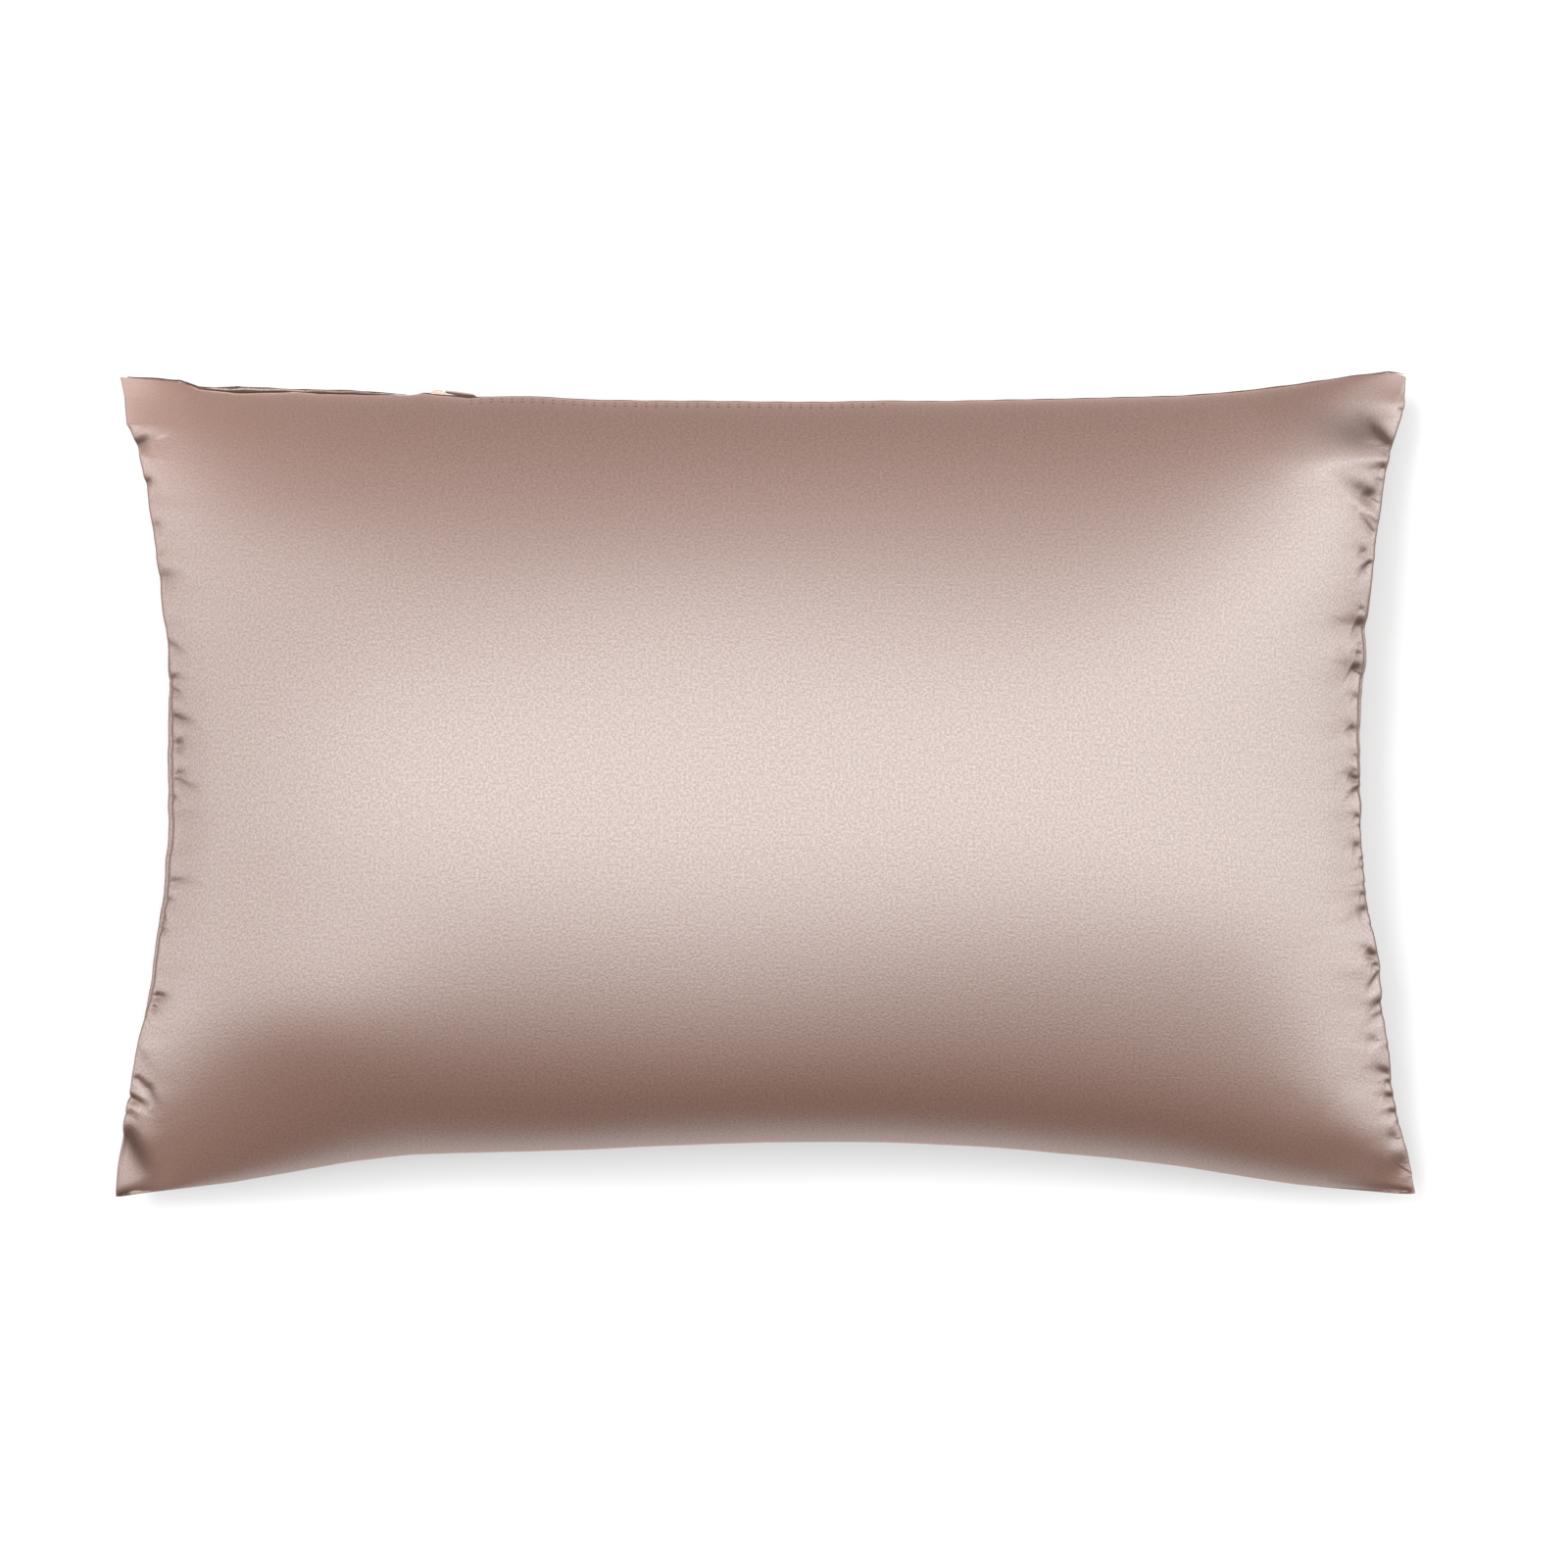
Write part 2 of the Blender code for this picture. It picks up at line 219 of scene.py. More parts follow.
# Slow swells of the filling under the front, in millimetres: where, how high and how wide.
# Columns: x, y, height, reach_x, reach_y.
SWELLS = (
    (-260, -140, 5.8, 70, 48),
    (150, -150, -1.2, 120, 50),
    (-60, 130, 1.2, 120, 50),
    (-285, 152, 2.6, 64, 38),
    (330, 122, 4.8, 40, 38),
    (275, -65, 3.0, 60, 60),
    (325, 179, 4.4, 44, 24),
)

# Creases and dimples of the front, in millimetres as seen from above: from the seam end to
# the inner end, with the half width and the depth. A negative depth is a ridge. The line
# follows a crease's steep wall, the one towards the far side, which the light leaves dark;
# a sunken crease also gets painted shade along that wall, darker the deeper it is, and the
# right-hand row of half width 14 is there mostly to paint a broad patch of shade.
# Columns: x, y, inner_x, inner_y, half_width, depth.
RIGHT_CREASES = (
    (363, 222, 362, 218, 1.6, 1.3),
    (362, 214, 360, 213, 1.5, 1.0),
    (366, 217, 326, 222, 5.5, -1.8),
    (366, 212, 352, 206, 6.0, -1.8),
    (355, 195, 345, 208, 3.0, 1.3),
    (356, 195, 340, 209, 5.0, 1.4),
    (346, 197, 322, 199, 8.0, 1.0),
    (336, 204, 296, 208, 14.0, 1.6),
    (354, 186, 300, 183, 6.5, -3.6),
    (354, 189, 351, 189, 1.4, 1.2),
    (352, 181, 349, 181, 1.9, 1.9),
    (351, 173, 348, 175, 1.7, 1.5),
    (344, 166, 340, 168, 4.8, 2.8),
    (338, 169, 324, 175, 4.6, 1.4),
    (347, 151, 329, 167, 2.6, -1.2),
    (346, 144, 333, 158, 1.7, 1.2),
    (340, 133, 337, 134, 3.0, 1.5),
    (343, 126, 338, 121, 2.2, 2.4),
    (339, 100, 337, 101, 1.8, 1.1),
    (338, 92, 335, 93, 4.0, 3.0),
    (338, 80, 336, 80, 1.6, 1.0),
    (337, 75, 335, 75, 1.9, 1.8),
    (335, 67, 333, 68, 4.2, 3.2),
    (336, 50, 333, 51, 2.2, 1.1),
    (328, 74, 329, 54, 2.2, 0.5),
    (334, 32, 332, 34, 2.8, 2.0),
    (337, 15, 335, 18, 1.5, 1.5),
    (336, 8, 333, 9, 1.5, 1.1),
    (336, 4, 331, 6, 2.4, 2.9),
    (337, 0, 332, 0, 1.3, -1.0),
    (337, -2, 332, -5, 2.2, 2.7),
    (337, -18, 335, -17, 1.8, 1.8),
    (338, -23, 336, -23, 1.6, 1.5),
    (336, -34, 333, -34, 3.0, 1.8),
    (339, -42, 337, -42, 1.7, 1.8),
    (340, -47, 337, -47, 1.6, 1.6),
    (341, -56, 339, -56, 2.0, 1.8),
    (340, -62, 337, -62, 2.1, 1.9),
    (340, -70, 335, -72, 3.4, 2.1),
    (345, -79, 342, -80, 1.6, 1.1),
    (346, -96, 342, -93, 2.4, 3.0),
    (347, -102, 344, -102, 2.0, 2.1),
    (348, -107, 342, -116, 1.7, 2.1),
    (352, -117, 343, -122, 2.0, -1.2),
    (350, -123, 345, -126, 2.2, 2.7),
    (352, -129, 344, -133, 2.0, 1.8),
    (345, -144, 340, -144, 3.0, 0.9),
    (355, -149, 353, -149, 1.8, 1.6),
    (354, -163, 347, -161, 2.5, 2.1),
    (356, -169, 352, -169, 2.0, 2.2),
    (357, -177, 352, -176, 2.2, 2.8),
    (359, -186, 354, -186, 2.0, 2.4),
    (361, -192, 359, -193, 1.6, 1.6),
    (356, -214, 316, -188, 12.0, -3.0),
    (357, -199, 351, -199, 4.5, 1.4),
    (362, -213, 352, -215, 6.5, 1.7),
    (365, -224, 356, -223, 5.0, -1.0),
    (369, -232, 322, -226, 2.6, 1.8),
)
LEFT_CREASES = (
    (-364, 204, -361, 201, 1.9, 1.5),
    (-359, 195, -350, 198, 3.4, 3.2),
    (-355, 188, -350, 186, 3.2, -0.9),
    (-353, 173, -349, 172, 3.0, 2.6),
    (-347, 148, -343, 148, 3.2, 1.1),
    (-347, 119, -333, 118, 4.0, 1.5),
    (-344, 127, -338, 126, 3.6, -0.9),
    (-341, 82, -330, 75, 2.4, 1.4),
    (-339, 61, -333, 61, 2.0, 1.9),
    (-336, 54, -331, 51, 1.8, 1.5),
    (-335, 39, -325, 35, 2.8, 1.9),
    (-334, 24, -330, 25, 3.0, 1.7),
    (-333, 7, -328, 7, 2.4, 1.1),
    (-334, 3, -322, -3, 2.0, 1.3),
    (-336, -7, -334, -8, 1.6, 1.7),
    (-337, -54, -325, -55, 2.6, 1.1),
    (-340, -65, -337, -66, 2.0, 1.7),
    (-342, -73, -341, -79, 1.5, 2.2),
    (-343, -82, -340, -83, 1.7, 1.7),
    (-352, -119, -350, -121, 2.2, 2.8),
    (-345, -119, -339, -121, 2.2, 1.9),
    (-347, -126, -344, -128, 1.7, 1.2),
    (-354, -131, -352, -133, 1.6, 1.7),
    (-356, -146, -350, -156, 3.0, -1.2),
    (-357, -167, -350, -173, 2.4, 1.7),
    (-350, -173, -346, -184, 2.8, 1.5),
    (-360, -170, -355, -176, 2.6, -1.0),
    (-362, -177, -353, -183, 1.9, 3.2),
    (-361, -184, -354, -188, 2.4, -1.2),
    (-365, -187, -362, -188, 1.5, 1.3),
    (-363, -200, -351, -223, 6.0, 3.4),
    (-353, -203, -346, -210, 6.0, -1.0),
    (-369, -235, -350, -231, 4.5, 3.0),
)
# Long shallow hollows where the seams' pull runs on into the front, with the same columns.
HOLLOWS = (
    (-336, 30, -312, 24, 12, 1.1),
    (-334, -20, -312, -26, 14, 1.0),
    (-338, -66, -316, -70, 10, 0.9),
    (338, 20, 318, 16, 12, 1.1),
    (337, -8, 316, -12, 12, 0.9),
    (341, -70, 322, -76, 12, 0.8),
    (340, 92, 322, 100, 10, 0.3),
)

# What every crease has in common: how far its steep wall lies from its middle and how much
# wider its gentle wall is, in half widths; how much of its stated depth it has; how much it
# widens and fades towards its inner end; the puff beside it; and how far off it ends, in
# metres.
WALL_SHIFT = 0.6
GENTLE_WALL = 1.8
CREASE_SCALE = 0.68
SEAM_END_WIDTH = 0.8
WIDENING = 0.6
FADING = 0.7
FADING_LATENESS = 1.5
PUFF = 0.15
PUFF_REACH = 2.0
CREASE_END = 0.06
# The depth, in millimetres, at which the shade painted on a crease's wall is as dark as it gets.
DARKEST_PAINTED_SHADE = 3.0

# Where shade is painted on the cloth besides its creases: beside the roll at the left seam on
# the back, and along the near fold, where it takes away some of the fold's sheen; as how much
# cloth lies between it and that side, how wide, in metres, and how dark.
# Columns: side, distance, width, darkness.
ROLL_SHADE = ("left", 0.007, 0.004, 0.5)
FOLD_SHADE = ("near", 0.0, 0.003, 0.5)

# How far the ends and the long sides are drawn in on average, in metres, where the arcs over
# the filled case start, and how finely those arcs are measured.
ENDS_DRAWN_IN = 0.028
LONG_SIDES_DRAWN_IN = 0.023
ARC_STEPS = 900

# How fine the cloth's cells are to be, in metres: anywhere, and within reach of which sides.
COARSE_CELL = 0.006
# Columns: side, reach, cell.
FINER_CELLS = (
    ("ends", 0.060, 0.0026), ("ends", 0.036, 0.0013), ("far", 0.008, 0.0013),
    ("near", 0.004, 0.0026), ("ends", 0.013, 0.0007),
)
# The finest cells of both cloths together, and of the front alone.
FINEST_OF_BOTH = 0.0026
FINEST_OF_FRONT = 0.0007
# How near to the finest size is near enough, and how long an edge is, as a share of the
# cells' size, before it is split.
CELL_SLACK = 1.2
LONG_EDGE = 0.75


def drawn_in(side, along):
    """The frame's own outline at these shares of a side, as x and y, and the way inward."""
    start, end, *waves = DRAWN_IN[side]
    run = (end - start) / np.linalg.norm(end - start)
    inward = np.array((-run[1], run[0]))
    if inward @ (start + end) > 0:
        inward = -inward
    drawn = sum(size * np.sin((n + 1) * math.pi * along) for n, size in enumerate(waves))
    return start + (end - start) * along[:, None] + inward * (drawn * MM)[:, None], inward


def trim_at(side, along):
    """How far the seam lies inside the drawn-in outline at these shares, in millimetres."""
    trim = np.interp(along, *zip(*TRIM[side])) + seam_inset(side, along)
    for size, count, start_at in SEAM_WAVER if side in ("left", "right") else ():
        trim = trim + size * np.sin(math.pi * along) * np.sin(count * along + start_at)
    return trim


def outline_point(side, along):
    """The seam's points at these shares of a side, as x and y, and the way inward."""
    points, inward = drawn_in(side, along)
    return points + inward * (trim_at(side, along) * MM)[:, None], inward


def seam_inset(side, along):
    """How far the seam lies inside the outline here, in millimetres; 0 on the near fold."""
    if side not in SEAM_INSET:
        return np.zeros_like(along)
    places, insets = zip(*SEAM_INSET[side])
    return np.interp(along, places, insets)


def plan_points(across, up):
    """Where points of the cloth lie seen from above.

    It is a Coons patch between the four drawn-in sides, moved near each side by its trim.
    """
    length, width = NEAR_RIGHT[0] - NEAR_LEFT[0], FAR_LEFT[1] - NEAR_LEFT[1]
    sides = {
        "near": (across, 1 - up, width),
        "far": (across, up, width),
        "left": (up, 1 - across, length),
        "right": (up, across, length),
    }
    plan = np.zeros((len(across), 2))
    for side, (along, weight, span) in sides.items():
        points, inward = drawn_in(side, along)
        fade = np.exp(-(((1 - weight) * span / TRIM_REACH) ** 2))
        plan += points * weight[:, None] + inward * (fade * trim_at(side, along) * MM)[:, None]
    across, up = across[:, None], up[:, None]
    plan -= (NEAR_LEFT * (1 - across) + NEAR_RIGHT * across) * (1 - up)
    return plan - (FAR_LEFT * (1 - across) + FAR_RIGHT * across) * up


# ---- the settings that a user would change ---------------------------------------------


def length(name, description, default, **more):
    """A property that holds a length in metres."""
    return FloatProperty(
        name=name, description=description, default=default, unit="LENGTH",
        subtype="DISTANCE", precision=5, **more,
    )


def share(name, description, default, **more):
    """A property that holds a plain number."""
    return FloatProperty(name=name, description=description, default=default, **more)


def angle(name, description, degrees):
    """A property that holds an angle, given in degrees."""
    return FloatProperty(
        name=name, description=description, default=math.radians(degrees), unit="ROTATION",
        subtype="ANGLE",
    )


def colour(name, description, default):
    """A property that holds a colour."""
    return FloatVectorProperty(
        name=name, description=description, default=default, subtype="COLOR", size=3,
        min=0.0, max=1.0,
    )


class CaseSettings(PropertyGroup):
    """The cut of the cloth and how the filling shapes it."""

    cut_length: length("Cut length", "Length of the case laid flat", 0.750)
    cut_width: length("Cut width", "Width of the case laid flat", 0.500)
    cell: length("Cell", "Size of the coarsest cells of the cloth", 0.005)
    seam_height: length("Seam height", "Height of the seams half way along a side", 0.060)
    tip_height: length("Tip height", "Height of the corner tips", 0.026)
    front_crown: length("Front crown", "Rise of the front above the seams", 0.085)
    back_crown: length("Back crown", "Drop of the back below the seams", 0.078)
    shoulder: share("Shoulder", "How late the crown drops to the side seams", 4.4)
    squareness: share("Squareness", "2 makes the crown an ellipse across", 2.15)
    ear: length("Ear", "How far the corners stay flat", 0.032)
    cloth_thickness: length("Cloth thickness", "Both cloths where they touch", 0.0012)
    rest_blend: length("Rest blend", "Softness of the bend to the flat under the back", 0.005)
    groove: length("Groove", "Depth of the groove that a seam pulls in", 0.0006)
    groove_reach: length("Groove reach", "Half width of a seam's groove", 0.0016)
    roll_reach: length("Roll reach", "Where the roll outside a seam is widest", 0.010)
    roll_spare: length("Roll spare", "Cloth that a roll needs before it shows", 0.002)
    seam_stiffness: length("Seam stiffness", "Cloth that a crease moves with the seam", 0.0038)
    notch: share("Notch", "Share of a crease's depth that notches the seam", 0.5)


class SatinSettings(PropertyGroup):
    """The satin's colour, sheen and weave."""

    colour: colour("Colour", "Colour of the yarn", (0.158, 0.077, 0.053))
    roughness: share("Roughness", "Width of the sheen", 0.38, min=0.0, max=1.0)
    refraction: share("Index of refraction", "Strength of the sheen", 2.2, min=1.0)
    specular: share("Specular level", "Scales the sheen, 0.5 changes nothing", 0.85)
    fuzz: share("Fuzz", "Light that the yarn's fibres scatter at its edges", 0.4)
    fuzz_roughness: share("Fuzz roughness", "How far that reaches in from the edges", 0.4)
    fuzz_colour: colour("Fuzz colour", "Colour of the fibres", (1.0, 0.62, 0.52))
    # Painted light: a paler yarn colour painted towards the corners, and on the front lip as its
    # highlight.
    painted_light_colour: colour("Corner colour", "Colour at the corners", (0.30, 0.15, 0.106))
    other_corners: share("Other corners", "Share of it that all but the far left have", 0.25)
    mottle: length("Mottle", "Size of the satin's mottling", 0.0015)
    contrast: share("Contrast", "How sharply the mottling changes", 2.8)
    tone: share("Tone", "How much the yarn's colour varies with the mottling", 0.34)
    gloss: share("Gloss", "How much the sheen's width varies with it", 0.1)
    grain: share("Grain", "How much the sheen's strength varies with it", 0.04)
    grain_height: length("Grain height", "How far the mottling stands out", 0.00008)
    relief: share("Relief", "How strongly that turns the light", 0.6)
    dullness: share("Dullness", "Share of the cloth that has no sheen", 0.2)
    # How much of the sheen painted shade takes away where it is darkest, in creases and on dark
    # rolls.
    painted_shade_strength: share("Tuck dark", "Share of the sheen that a deep crease loses", 0.8)
    # The thread's colour, also used as the colour of painted shade.
    thread: colour("Thread", "Colour of thread, and of cloth in a crease", (0.074, 0.046, 0.037))
    thread_roughness: share("Thread roughness", "Roughness of the thread", 0.8)
    thread_specular: share("Thread specular level", "Strength of the thread's gloss", 0.08)
    # The seams' darkening is their thread plus painted shade beside it, widest at the far seam.
    seam_reach: length("Seam reach", "How far a side seam's thread darkens the cloth", 0.0015)
    far_fade: share("Far fade", "How fast the far seam's darkness fades beside theirs", 0.45)
    seam_dark: share("Seam dark", "How dark a seam's thread is", 0.6)
    stitch_dark: share("Stitch dark", "How dark the rows of stitches are", 0.45)
    stitch_depth: share("Stitch depth", "How far they sink, in grain heights", 2.0)


class ZipSettings(PropertyGroup):
    """The zip's slider and pull."""

    along: share("Along", "Share of the far side where the slider sits", 0.2465, min=0.0, max=1.0)
    slider_length: length("Slider length", "Length of the slider", 0.0078)
    slider_depth: length("Slider depth", "How far the slider stands out from the seam", 0.0024)
    slider_height: length("Slider height", "Height of the slider", 0.0052)
    slider_wall: length("Slider wall", "Thickness of the slider's two plates", 0.0008)
    pull_length: length("Pull length", "Length of the pull", 0.0180)
    pull_width: length("Pull width", "Width of the pull at its broad end", 0.0044)
    pull_neck: length("Pull neck", "Width of the pull at its neck", 0.0018)
    pull_thickness: length("Pull thickness", "Thickness of the pull", 0.0010)
    pull_lean: angle("Pull lean", "How far the pull leans in over the seam", 28.0)
    pull_turn: angle("Pull turn", "How far the pull's end turns in to the seam", 4.0)
    gap: length("Gap", "Air between the slider, the pull and the seam", 0.0003)
    set_in: length("Set in", "How far the zip sits inside the drawn-in outline", 0.0012)
    rounding: length("Rounding", "Rounding of the edges", 0.00022)
    lacquer: colour("Lacquer", "Colour of the slider and the pull", (0.56, 0.41, 0.35))
    metal: share("Metal", "How much of the metal shows through the lacquer", 0.5)
    lacquer_roughness: share("Lacquer roughness", "Roughness where it isn't worn", 0.22)
    wear: share("Wear", "How much rougher it is where it is worn", 0.15)
    wear_tone: share("Wear tone", "How much paler it is there", 0.1)
    wear_count: share("Wear count", "Worn spots to the metre", 900.0)


class StageSettings(PropertyGroup):
    """The floor, the light and the camera."""

    floor_size: length("Floor", "Width of the floor", 16.0)
    floor_gap: length("Floor gap", "How far the floor lies under the case", 0.0002)
    floor_roughness: share("Floor roughness", "Roughness of the floor", 0.9)
    floor_colour: colour("Floor colour", "Colour of the floor", (0.50, 0.50, 0.50))
    floor_glow: share("Floor glow", "Light that the floor gives off, as a light table does", 0.25)
    light: share("Light", "Radiance straight above", 3.84)
    near_narrowness: share("Near narrowness", "How fast the light dims to the near side", 2.28)
    far_narrowness: share("Far narrowness", "How fast the light dims to the far side", 3.0)
    near_dark: share("Near dark", "How far the near horizon dims", 1.12)
    corner_dark: share("Corner dark", "How much more the near horizon dims at the left", 6.2)
    left_dark: share("Left dark", "How far the horizon at the left end dims", 0.25)
    right_dark: share("Right dark", "How far the horizon at the right end dims", 0.2)
    right_near: share("Right near", "How much more it dims there towards the near side", 1.8)
    right_far: share("Right far", "How much less it dims there towards the far side", 2.2)
    left_far: share("Left far", "How much more the left end dims towards the far side", 0.9)
    horizon_blend: share("Horizon blend", "How softly the light ends below the horizon", 0.75)
    floor_sheen: share("Floor sheen", "Radiance that the satin mirrors from below", 0.35)
    near_floor: share("Near floor", "How much more it mirrors at the near side", 1.8)
    lamp: share("Lamp", "Strength of the lamp that casts the shadow", 2.2)
    lamp_softness: share("Lamp softness", "Width of the lamp, in degrees", 24.0)
    lamp_from: FloatVectorProperty(
        name="Lamp from", description="Direction that the lamp shines from", size=3,
        default=(-0.50, 0.45, 1.0),
    )
    view_width: length("View width", "Width of the view at the seams", 0.8935)
    view_height: length("View height", "Height at which the view width holds", 0.040)
    view_x: length("View centre", "Where the camera looks along the case", 0.0106)
    lens: share("Lens", "Focal length in millimetres", 200.0)
    farthest: length("Farthest", "How far the camera sees", 100.0)


# ---- cloth ------------------------------------------------------------------------------


def arc_lookup(half, height, swell, squareness):
    """Shares of the way along a crown's arc, and how far out each lies seen from above."""
    out = np.sin(np.linspace(0.0, math.pi / 2, ARC_STEPS))
    rise = height * swell(out, squareness)
    steps = np.hypot(np.diff(half * out), np.diff(rise))
    arc = np.concatenate(([0.0], np.cumsum(steps)))
    return arc / arc[-1], out


def spread_on_arc(flat, lookup):
    """Turns shares of the flat cloth, -1 to 1, into shares of the filled case's width."""
    arc, out = lookup
    return np.sign(flat) * np.interp(np.abs(flat), arc, out)


def swell_across(off_centre, squareness):
    """The crown's height across the case: 1 in the middle, round down to both long sides."""
    return np.sqrt(np.clip(1 - np.abs(off_centre) ** squareness, 0, 1))


def swell_along(off_centre, shoulder):
    """The crown's height along the case: it meets the side seams at a slant."""
    return 1 - np.abs(off_centre) ** shoulder


def crease_field(plan, creases):
    """How deep these creases press in at points seen from above, and the shade painted on them.
    """
    depth = np.zeros(len(plan))
    painted_shading = np.zeros(len(plan))
    for x, y, inner_x, inner_y, half_width, deepest in creases:
        run = np.array((inner_x - x, inner_y - y)) * MM
        upward = np.array((-run[1], run[0])) / np.linalg.norm(run)
        upward = upward * (1 if upward[1] >= 0 else -1)
        sunk = deepest > 0
        to_wall = upward * (WALL_SHIFT * half_width * MM * sunk)
        away = plan - (np.array((x, y)) * MM - to_wall)
        close = (np.abs(away) < CREASE_END + np.abs(run)).all(axis=1)
        share_in = np.clip(away[close] @ run / (run @ run), 0, 1)
        apart = away[close] - run * share_in[:, None]
        off = np.linalg.norm(apart, axis=1)
        off = off / (half_width * MM * (SEAM_END_WIDTH + WIDENING * share_in))
        off = off / np.where((apart @ upward > 0) == sunk, 1.0, GENTLE_WALL)
        fade = 1 - FADING * share_in**FADING_LATENESS
        dip = np.exp(-(off**2)) - PUFF * np.exp(-((off / PUFF_REACH) ** 2))
        depth[close] += CREASE_SCALE * deepest * MM * fade * dip / (1 - PUFF)
        # Painted shade: each sunken crease darkens the cloth along its steep wall.
        from_wall = np.linalg.norm(apart - to_wall, axis=1)
        dark = np.exp(-((from_wall / (half_width * MM)) ** 2))
        painted_shading[close] += max(0.0, deepest / DARKEST_PAINTED_SHADE) * fade * dark
    return depth, np.minimum(painted_shading, 1.0)


class FilledCase:
    """Works out where each point of the flat cloth lies on the filled case."""

    def __init__(self, sizes):
        self.sizes = sizes
        half_length = (NEAR_RIGHT[0] - NEAR_LEFT[0]) / 2 - ENDS_DRAWN_IN
        half_width = (FAR_LEFT[1] - NEAR_LEFT[1]) / 2 - LONG_SIDES_DRAWN_IN
        crown = sizes.front_crown
        self.along = arc_lookup(half_length, crown, swell_along, sizes.shoulder)
        self.across = arc_lookup(half_width, crown, swell_across, sizes.squareness)

    def shares(self, flat):
        """Off-centre shares, -1 to 1, of points of the flat cloth."""
        a = spread_on_arc(2 * flat[:, 0] / self.sizes.cut_length, self.along)
        b = spread_on_arc(2 * flat[:, 1] / self.sizes.cut_width, self.across)
        return a, b

    def plan(self, flat):
        """Points of the flat cloth as they lie seen from above."""
        a, b = self.shares(flat)
        return plan_points((a + 1) / 2, (b + 1) / 2)

    def from_seams(self, flat):
        """How much cloth lies between points and each side: left, right, near and far."""
        half_length = self.sizes.cut_length / 2
        half_width = self.sizes.cut_width / 2
        return {
            "left": half_length + flat[:, 0],
            "right": half_length - flat[:, 0],
            "near": half_width + flat[:, 1],
            "far": half_width - flat[:, 1],
        }

    def points(self, flat, on_front):
        """Where points of the front or the back cloth lie in space, before any crease."""
        sizes = self.sizes
        a, b = self.shares(flat)
        plan = plan_points((a + 1) / 2, (b + 1) / 2)
        tips = np.array((NEAR_LEFT, NEAR_RIGHT, FAR_LEFT, FAR_RIGHT))
        from_tip = np.linalg.norm(plan[:, None] - tips[None], axis=2).min(axis=1)
        filled = 1 - np.exp(-((from_tip / sizes.ear) ** 2))
        seam = sizes.seam_height + (sizes.tip_height - sizes.seam_height) * a**2 * b**2
        from_seam = self.from_seams(flat)
        nearest = np.minimum.reduce(list(from_seam.values()))
        rim = np.clip(nearest / sizes.cloth_thickness, 0, 1)
        skin = sizes.cloth_thickness / 2 * np.sqrt(1 - (1 - rim) ** 2)
        squarer = np.zeros(len(plan))
        for toward_x, toward_y, added, lateness in SQUARER:
            toward = 0.5 + 0.5 * np.tanh(toward_y * b * SQUARER_CHANGEOVER)
            toward = toward * (toward_x * a > 0)
            squarer += added * np.abs(a) ** lateness * toward
        crown = swell_along(a, sizes.shoulder) * filled
        crown = crown * swell_across(b, sizes.squareness + squarer)
        lump = np.zeros(len(plan))
        for x, y, height, reach_x, reach_y in SWELLS:
            off_x = (plan[:, 0] / MM - x) / reach_x
            off_y = (plan[:, 1] / MM - y) / reach_y
            lump += height * MM * np.exp(-(off_x**2) - off_y**2)
        front = seam + skin + (sizes.front_crown + lump) * crown
        back = self.rested(seam - skin - sizes.back_crown * crown)
        plan = plan + self.blunted(flat)
        placed = np.column_stack((plan, np.where(on_front, front, back)))
        return placed + self.rolled(flat, a, b, on_front)

    def press_directions(self, flat, on_front, normals):
        """Which way creases press: square to the cloth, and straight inward at a seam."""
        outward = np.column_stack((np.sign(flat[:, 0]), np.zeros((len(flat), 2))))
        at_seam = self.at_seam(flat)[:, None]
        pressed = normals * (1 - at_seam) + outward * at_seam * self.sizes.notch
        return np.where(on_front[:, None], pressed, outward * at_seam * self.sizes.notch)

    def at_seam(self, flat):
        """1 on the side seams, falling off to 0 over the cloth that moves with them."""
        reach = self.sizes.cut_length / 2 - np.abs(flat[:, 0])
        return np.exp(-((reach / self.sizes.seam_stiffness) ** 2))

    def rested(self, height):
        """Heights under the back made flat where they would pass below the floor."""
        soft = self.sizes.rest_blend
        bent = (height + soft) ** 2 / (4 * soft)
        return np.where(height <= -soft, 0.0, np.where(height < soft, bent, height))

    def rolled(self, flat, a, b, on_front):
        """Moves at the seams: each one's groove, and the back cloth's roll outside it."""
        sizes = self.sizes
        moved = np.zeros((len(flat), 3))
        from_seam = self.from_seams(flat)
        for side, gain in ROLL_GAIN.items():
            along = (b + 1) / 2 if side in ("left", "right") else (a + 1) / 2
            _, inward = outline_point(side, np.array((0.5,)))
            reach = from_seam[side]
            groove = sizes.groove * np.exp(-((reach / sizes.groove_reach) ** 2))
            inset = seam_inset(side, along) * MM
            inset = np.maximum(inset - sizes.roll_spare / 2, 0)
            turned = reach / sizes.roll_reach
            roll = inset + sizes.roll_spare * np.clip(inset / sizes.roll_spare, 0, 1)
            roll = roll * gain * turned * np.exp(1 - turned)
            moved[:, :2] += (groove - np.where(on_front, 0.0, roll))[:, None] * inward
            drop = ROLL_DROP * roll * np.exp(-((reach / sizes.roll_reach) ** 2))
            moved[:, 2] -= groove + np.where(on_front, 0.0, drop)
        return moved

    def blunted(self, flat):
        """Sideways moves that round the corner tips off."""
        moved = np.zeros((len(flat), 2))
        from_seam = self.from_seams(flat)
        for toward_x, toward_y, radius in BLUNT_TIPS:
            to_x = from_seam["left" if toward_x < 0 else "right"]
            to_y = from_seam["near" if toward_y < 0 else "far"]
            fade = np.exp(-(to_x + to_y) / (TIP_REACH * radius * MM))
            inward = TIP_MOVE * radius * MM * fade
            moved -= inward[:, None] * np.array((toward_x, toward_y))
        return moved


def cell_size(case, flat):
    """How fine the cloth's cells are to be at points of the flat cloth, in metres."""
    from_seam = case.from_seams(flat)
    from_seam["ends"] = np.minimum(from_seam["left"], from_seam["right"])
    wanted = np.full(len(flat), COARSE_CELL)
    for side, reach, cell in FINER_CELLS:
        wanted = np.where(from_seam[side] < reach, cell, wanted)
    return wanted


